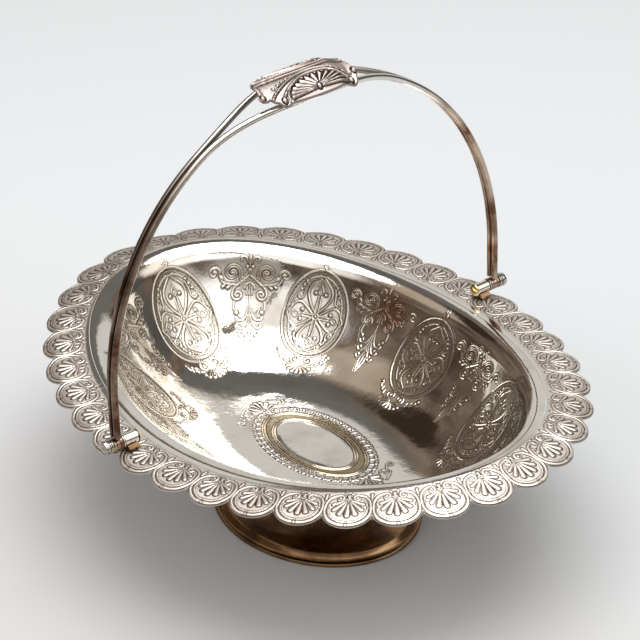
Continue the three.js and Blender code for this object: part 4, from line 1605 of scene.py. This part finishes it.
@dataclass
class Cartouche:
    """The cast plate on top of the parted wires, crowned across them."""

    handle: Handle
    semi_width: float = 14.5
    thickness: float = 1.4
    edge_round: float = 0.3
    crown: float = 7.0
    bow: float = 0.05
    end_fall: float = 2.3
    sink: float = 0.08
    fall_from: float = 11.0
    fall_length: float = 9.0
    gap: float = 0.3
    columns: int = 440
    rows: int = 92
    under_rows: int = 14
    edge_share: float = 0.985
    # Darker colour given to the plate's edge and underside.
    under_tarnish: float = 0.3

    def top(self, x: Array, y: Array) -> Array:
        """Height of the plate's top.

        Args:
            x: Places in plan, across the wires.
            y: Places in plan, along them.

        Returns:
            The height there.
        """
        handle = self.handle
        wires, highest = float(handle.half_spread(0.0)), float(handle.arch_height(0.0))
        slope = 2 * self.crown * wires / self.semi_width ** 2
        seat = math.hypot(slope * handle.wire_width / 2, handle.wire_depth / 2)
        seat += self.gap * math.hypot(slope, 1)
        ridge = highest + seat + self.thickness + self.crown * (wires / self.semi_width) ** 2
        share = np.clip((y - self.fall_from) / self.fall_length, 0, 1)
        fall = self.crown * (x / self.semi_width) ** 2 + self.end_fall * share ** 2 * (3 - 2 * share)
        return ridge - fall - self.bow * (highest - handle.arch_height(y)) - self.sink

    def build(self) -> None:
        """Makes the plate."""
        line, art, rows = curve(PLATE_EDGE, closed=True), cast_plate(), self.rows
        over, under = (np.linspace(0, self.edge_share, count) for count in (rows, self.under_rows))
        share = np.concatenate([over, [1.0, 1.0], under[::-1]])
        place = share[:, None, None] * evenly(line, line, self.columns)
        x, y = place[..., 0], place[..., 1]
        relief = art.sample(art.height(), x, y)
        relief[rows] = -self.edge_round
        relief[rows + 1] = self.edge_round - self.thickness
        relief[rows + 2:] = -self.thickness
        # Tarnish in the sunk lines, painted shade at the foot of the relief.
        tarnish = art.sample(art.dirt_and_shade(1.1), x, y)
        # The edge and underside are given a darker colour.
        tarnish[rows:] = self.under_tarnish
        points = np.stack([x, y, self.top(x, y) + relief], -1)
        plate = wrapped_grid("cartouche_plate", points, tarnish=tarnish)
        weld(plate)
        dress(plate, CAST_PLATE, Body.HANDLE, "stamped_silver", "cartouche", edge_degrees=50)


# Room, light and camera


@dataclass(frozen=True)
class Card:
    """A round patch of the room that the metal mirrors, with its angles in degrees."""

    azimuth: float
    height: float
    radius: float
    edge: float
    code: str
    gain: float = 1.0

    def share(self, tree: Tree, ray: Socket) -> Socket:
        """How much of the card shows along a ray.

        Args:
            tree: The world's node tree.
            ray: Direction of the ray.

        Returns:
            A share from 0 to 1.
        """
        flat, up = math.radians(self.azimuth), math.radians(self.height)
        aim = (math.cos(flat) * math.cos(up), math.sin(flat) * math.cos(up), math.sin(up))
        facing = add_node(tree, "ShaderNodeVectorMath", {0: ray, 1: aim}, operation="DOT_PRODUCT")
        low, high = (math.cos(math.radians(self.radius + way * self.edge)) for way in (1, -1))
        return ramp(tree, facing.outputs["Value"], low, high, "SMOOTHSTEP")


# The room's lamps and windows first, then its darker things, then the pale floor.
CARDS = (
    Card(337, 62, 36, 12, "#FFFFFF", 2.0), Card(28, 44, 27, 9, "#FFFDF6", 1.7),
    Card(285, 50, 20, 8, "#F2EFEA", 1.4), Card(320, 18, 18, 7, "#B5AFA6"),
    Card(75, 14, 17, 5, "#5E5B58"), Card(125, 46, 21, 5, "#757370"),
    Card(205, 58, 16, 5, "#C4B4A2"), Card(148, 57, 11, 4, "#6E6C6A"),
    Card(170, 42, 7, 2, "#3B3027"), Card(183, 41, 6, 2, "#3B3027"),
    Card(130, 9, 29, 2, "#E0DDD8"),
)


@dataclass(frozen=True)
class Studio:
    """A pale sweep of paper with painted light falloff and shade in its colour, under one wide soft
    light, in a dim warm room. In metres.
    """

    softbox_size: float = 1.5
    softbox_place: tuple[float, float, float] = (0.03, 0.14, 1.35)
    softbox_watts: float = 23.0
    fill_size: float = 1.6
    fill_place: tuple[float, float, float] = (-0.1, -1.5, 0.7)
    fill_watts: float = 18.0
    floor_side: float = 9.0
    # The paper's colour carries painted light and shade: a lit tone away from the viewer fading to a
    # shaded tone near the viewer.
    painted_falloff_way: tuple[float, float, float] = (-0.35, 0.9, 0.0)
    painted_falloff_span: Pair = (-0.35, 0.25)
    paper_roughness: float = 0.9
    painted_lit_paper: str = "#B0B3B6"
    painted_shaded_paper: str = "#A5A19F"
    dark_clutter: str = "#4B3F35"
    pale_clutter: str = "#8A7B6C"
    clutter_scale: float = 3.2
    clutter_detail: float = 4.0
    clutter_roughness: float = 0.6
    clutter_band: Pair = (0.36, 0.62)

    def build(self) -> None:
        """Makes the floor, the lights and the room."""
        self.floor()
        self.light("softbox", self.softbox_place, self.softbox_size, self.softbox_watts)
        fill = self.light("shadow_fill", self.fill_place, self.fill_size, self.fill_watts)
        fill.rotation_euler = (-Vector(self.fill_place)).to_track_quat("-Z", "Y").to_euler()
        fill.visible_glossy = False
        self.room()

    def floor(self) -> None:
        """The paper that the bowl stands on, with painted light falloff: paler away from the viewer,
        darker and warmer towards it.
        """
        deselect_all()
        bpy.ops.mesh.primitive_plane_add(size=self.floor_side)
        floor = named("paper")
        material = bpy.data.materials.new("matt_paper")
        tree = clean_tree(material)
        place = add_node(tree, "ShaderNodeTexCoord").outputs["Object"]
        away = {0: place, 1: self.painted_falloff_way}
        lean = add_node(tree, "ShaderNodeVectorMath", away, operation="DOT_PRODUCT").outputs["Value"]
        # Painted light falloff: the lit tone away from the viewer, the shaded tone near it.
        share = ramp(tree, lean, *self.painted_falloff_span, "SMOOTHSTEP")
        tone = mix(tree, share, linear(self.painted_shaded_paper), linear(self.painted_lit_paper))
        values = {"Base Color": tone, "Roughness": self.paper_roughness}
        shader = add_node(tree, "ShaderNodeBsdfPrincipled", values)
        add_node(tree, "ShaderNodeOutputMaterial", {"Surface": shader.outputs["BSDF"]})
        floor.data.materials.append(material)

    def light(self, name: str, place: Sequence[float], size: float, watts: float) -> Piece:
        """Adds a round soft light that shines down.

        Args:
            name: Its name.
            place: Where it is, in metres.
            size: Its width.
            watts: Its power.

        Returns:
            The light.
        """
        bpy.ops.object.light_add(type="AREA", location=place)
        light = named(name)
        light.data.shape = "DISK"
        light.data.size, light.data.energy = size, watts
        return light

    def room(self) -> None:
        """The room as the metal mirrors it: brown clutter, with the cards before it."""
        world = bpy.data.worlds.new("room")
        bpy.context.scene.world = world
        tree = clean_tree(world)
        ray = add_node(tree, "ShaderNodeTexCoord").outputs["Generated"]
        values = {
            "Vector": ray, "Scale": self.clutter_scale, "Detail": self.clutter_detail,
            "Roughness": self.clutter_roughness,
        }
        lumps = add_node(tree, "ShaderNodeTexNoise", values).outputs["Fac"]
        clutter = ramp(tree, lumps, *self.clutter_band)
        colour = mix(tree, clutter, linear(self.dark_clutter), linear(self.pale_clutter))
        for card in CARDS:
            glow = [card.gain * part for part in linear(card.code)]
            colour = mix(tree, card.share(tree, ray), colour, glow)
        shader = add_node(tree, "ShaderNodeBackground", {"Color": colour, "Strength": 1.0})
        add_node(tree, "ShaderNodeOutputWorld", {"Surface": shader.outputs["Background"]})


@dataclass(frozen=True)
class Viewpoint:
    """Where the photograph was taken from."""

    place: tuple[float, float, float] = (954.1, -723.5, 802.9)
    azimuth: float = math.radians(52.62)
    elevation: float = math.radians(30.25)
    roll: float = math.radians(-1.73)
    focal_pixels: float = 2952.2
    sensor: float = 36.0

    def build(self) -> None:
        """Makes the camera."""
        away = math.cos(self.elevation)
        back = Vector((
            math.sin(self.azimuth) * away, -math.cos(self.azimuth) * away, math.sin(self.elevation),
        ))
        level = Vector((math.cos(self.azimuth), math.sin(self.azimuth), 0))
        upright = back.cross(level)
        right = math.cos(self.roll) * level + math.sin(self.roll) * upright
        up = math.cos(self.roll) * upright - math.sin(self.roll) * level
        bpy.ops.object.camera_add()
        camera = named("viewpoint")
        camera.data.sensor_width = self.sensor
        camera.data.lens = self.focal_pixels / IMAGE_SIDE * self.sensor
        axes = Matrix((right, up, back)).transposed().to_4x4()
        camera.matrix_world = Matrix.Translation(Vector(self.place) * MM) @ axes
        bpy.context.scene.camera = camera


def main() -> None:
    """Builds the bowl, its room and its camera."""
    logging.basicConfig(level=logging.INFO, format="%(name)s: %(message)s")
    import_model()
    form = BowlForm()
    Bowl(form).build()
    RimBorder(BorderForm(form)).build()
    Foot(form).build()
    for side in Side:
        Hinge(side).build()
    handle = Handle(Hinge(Side.LEFT))
    handle.build()
    Cartouche(handle).build()
    Studio().build()
    Viewpoint().build()
    bpy.context.scene.view_settings.view_transform = "Standard"


if __name__ == "__main__":
    main()
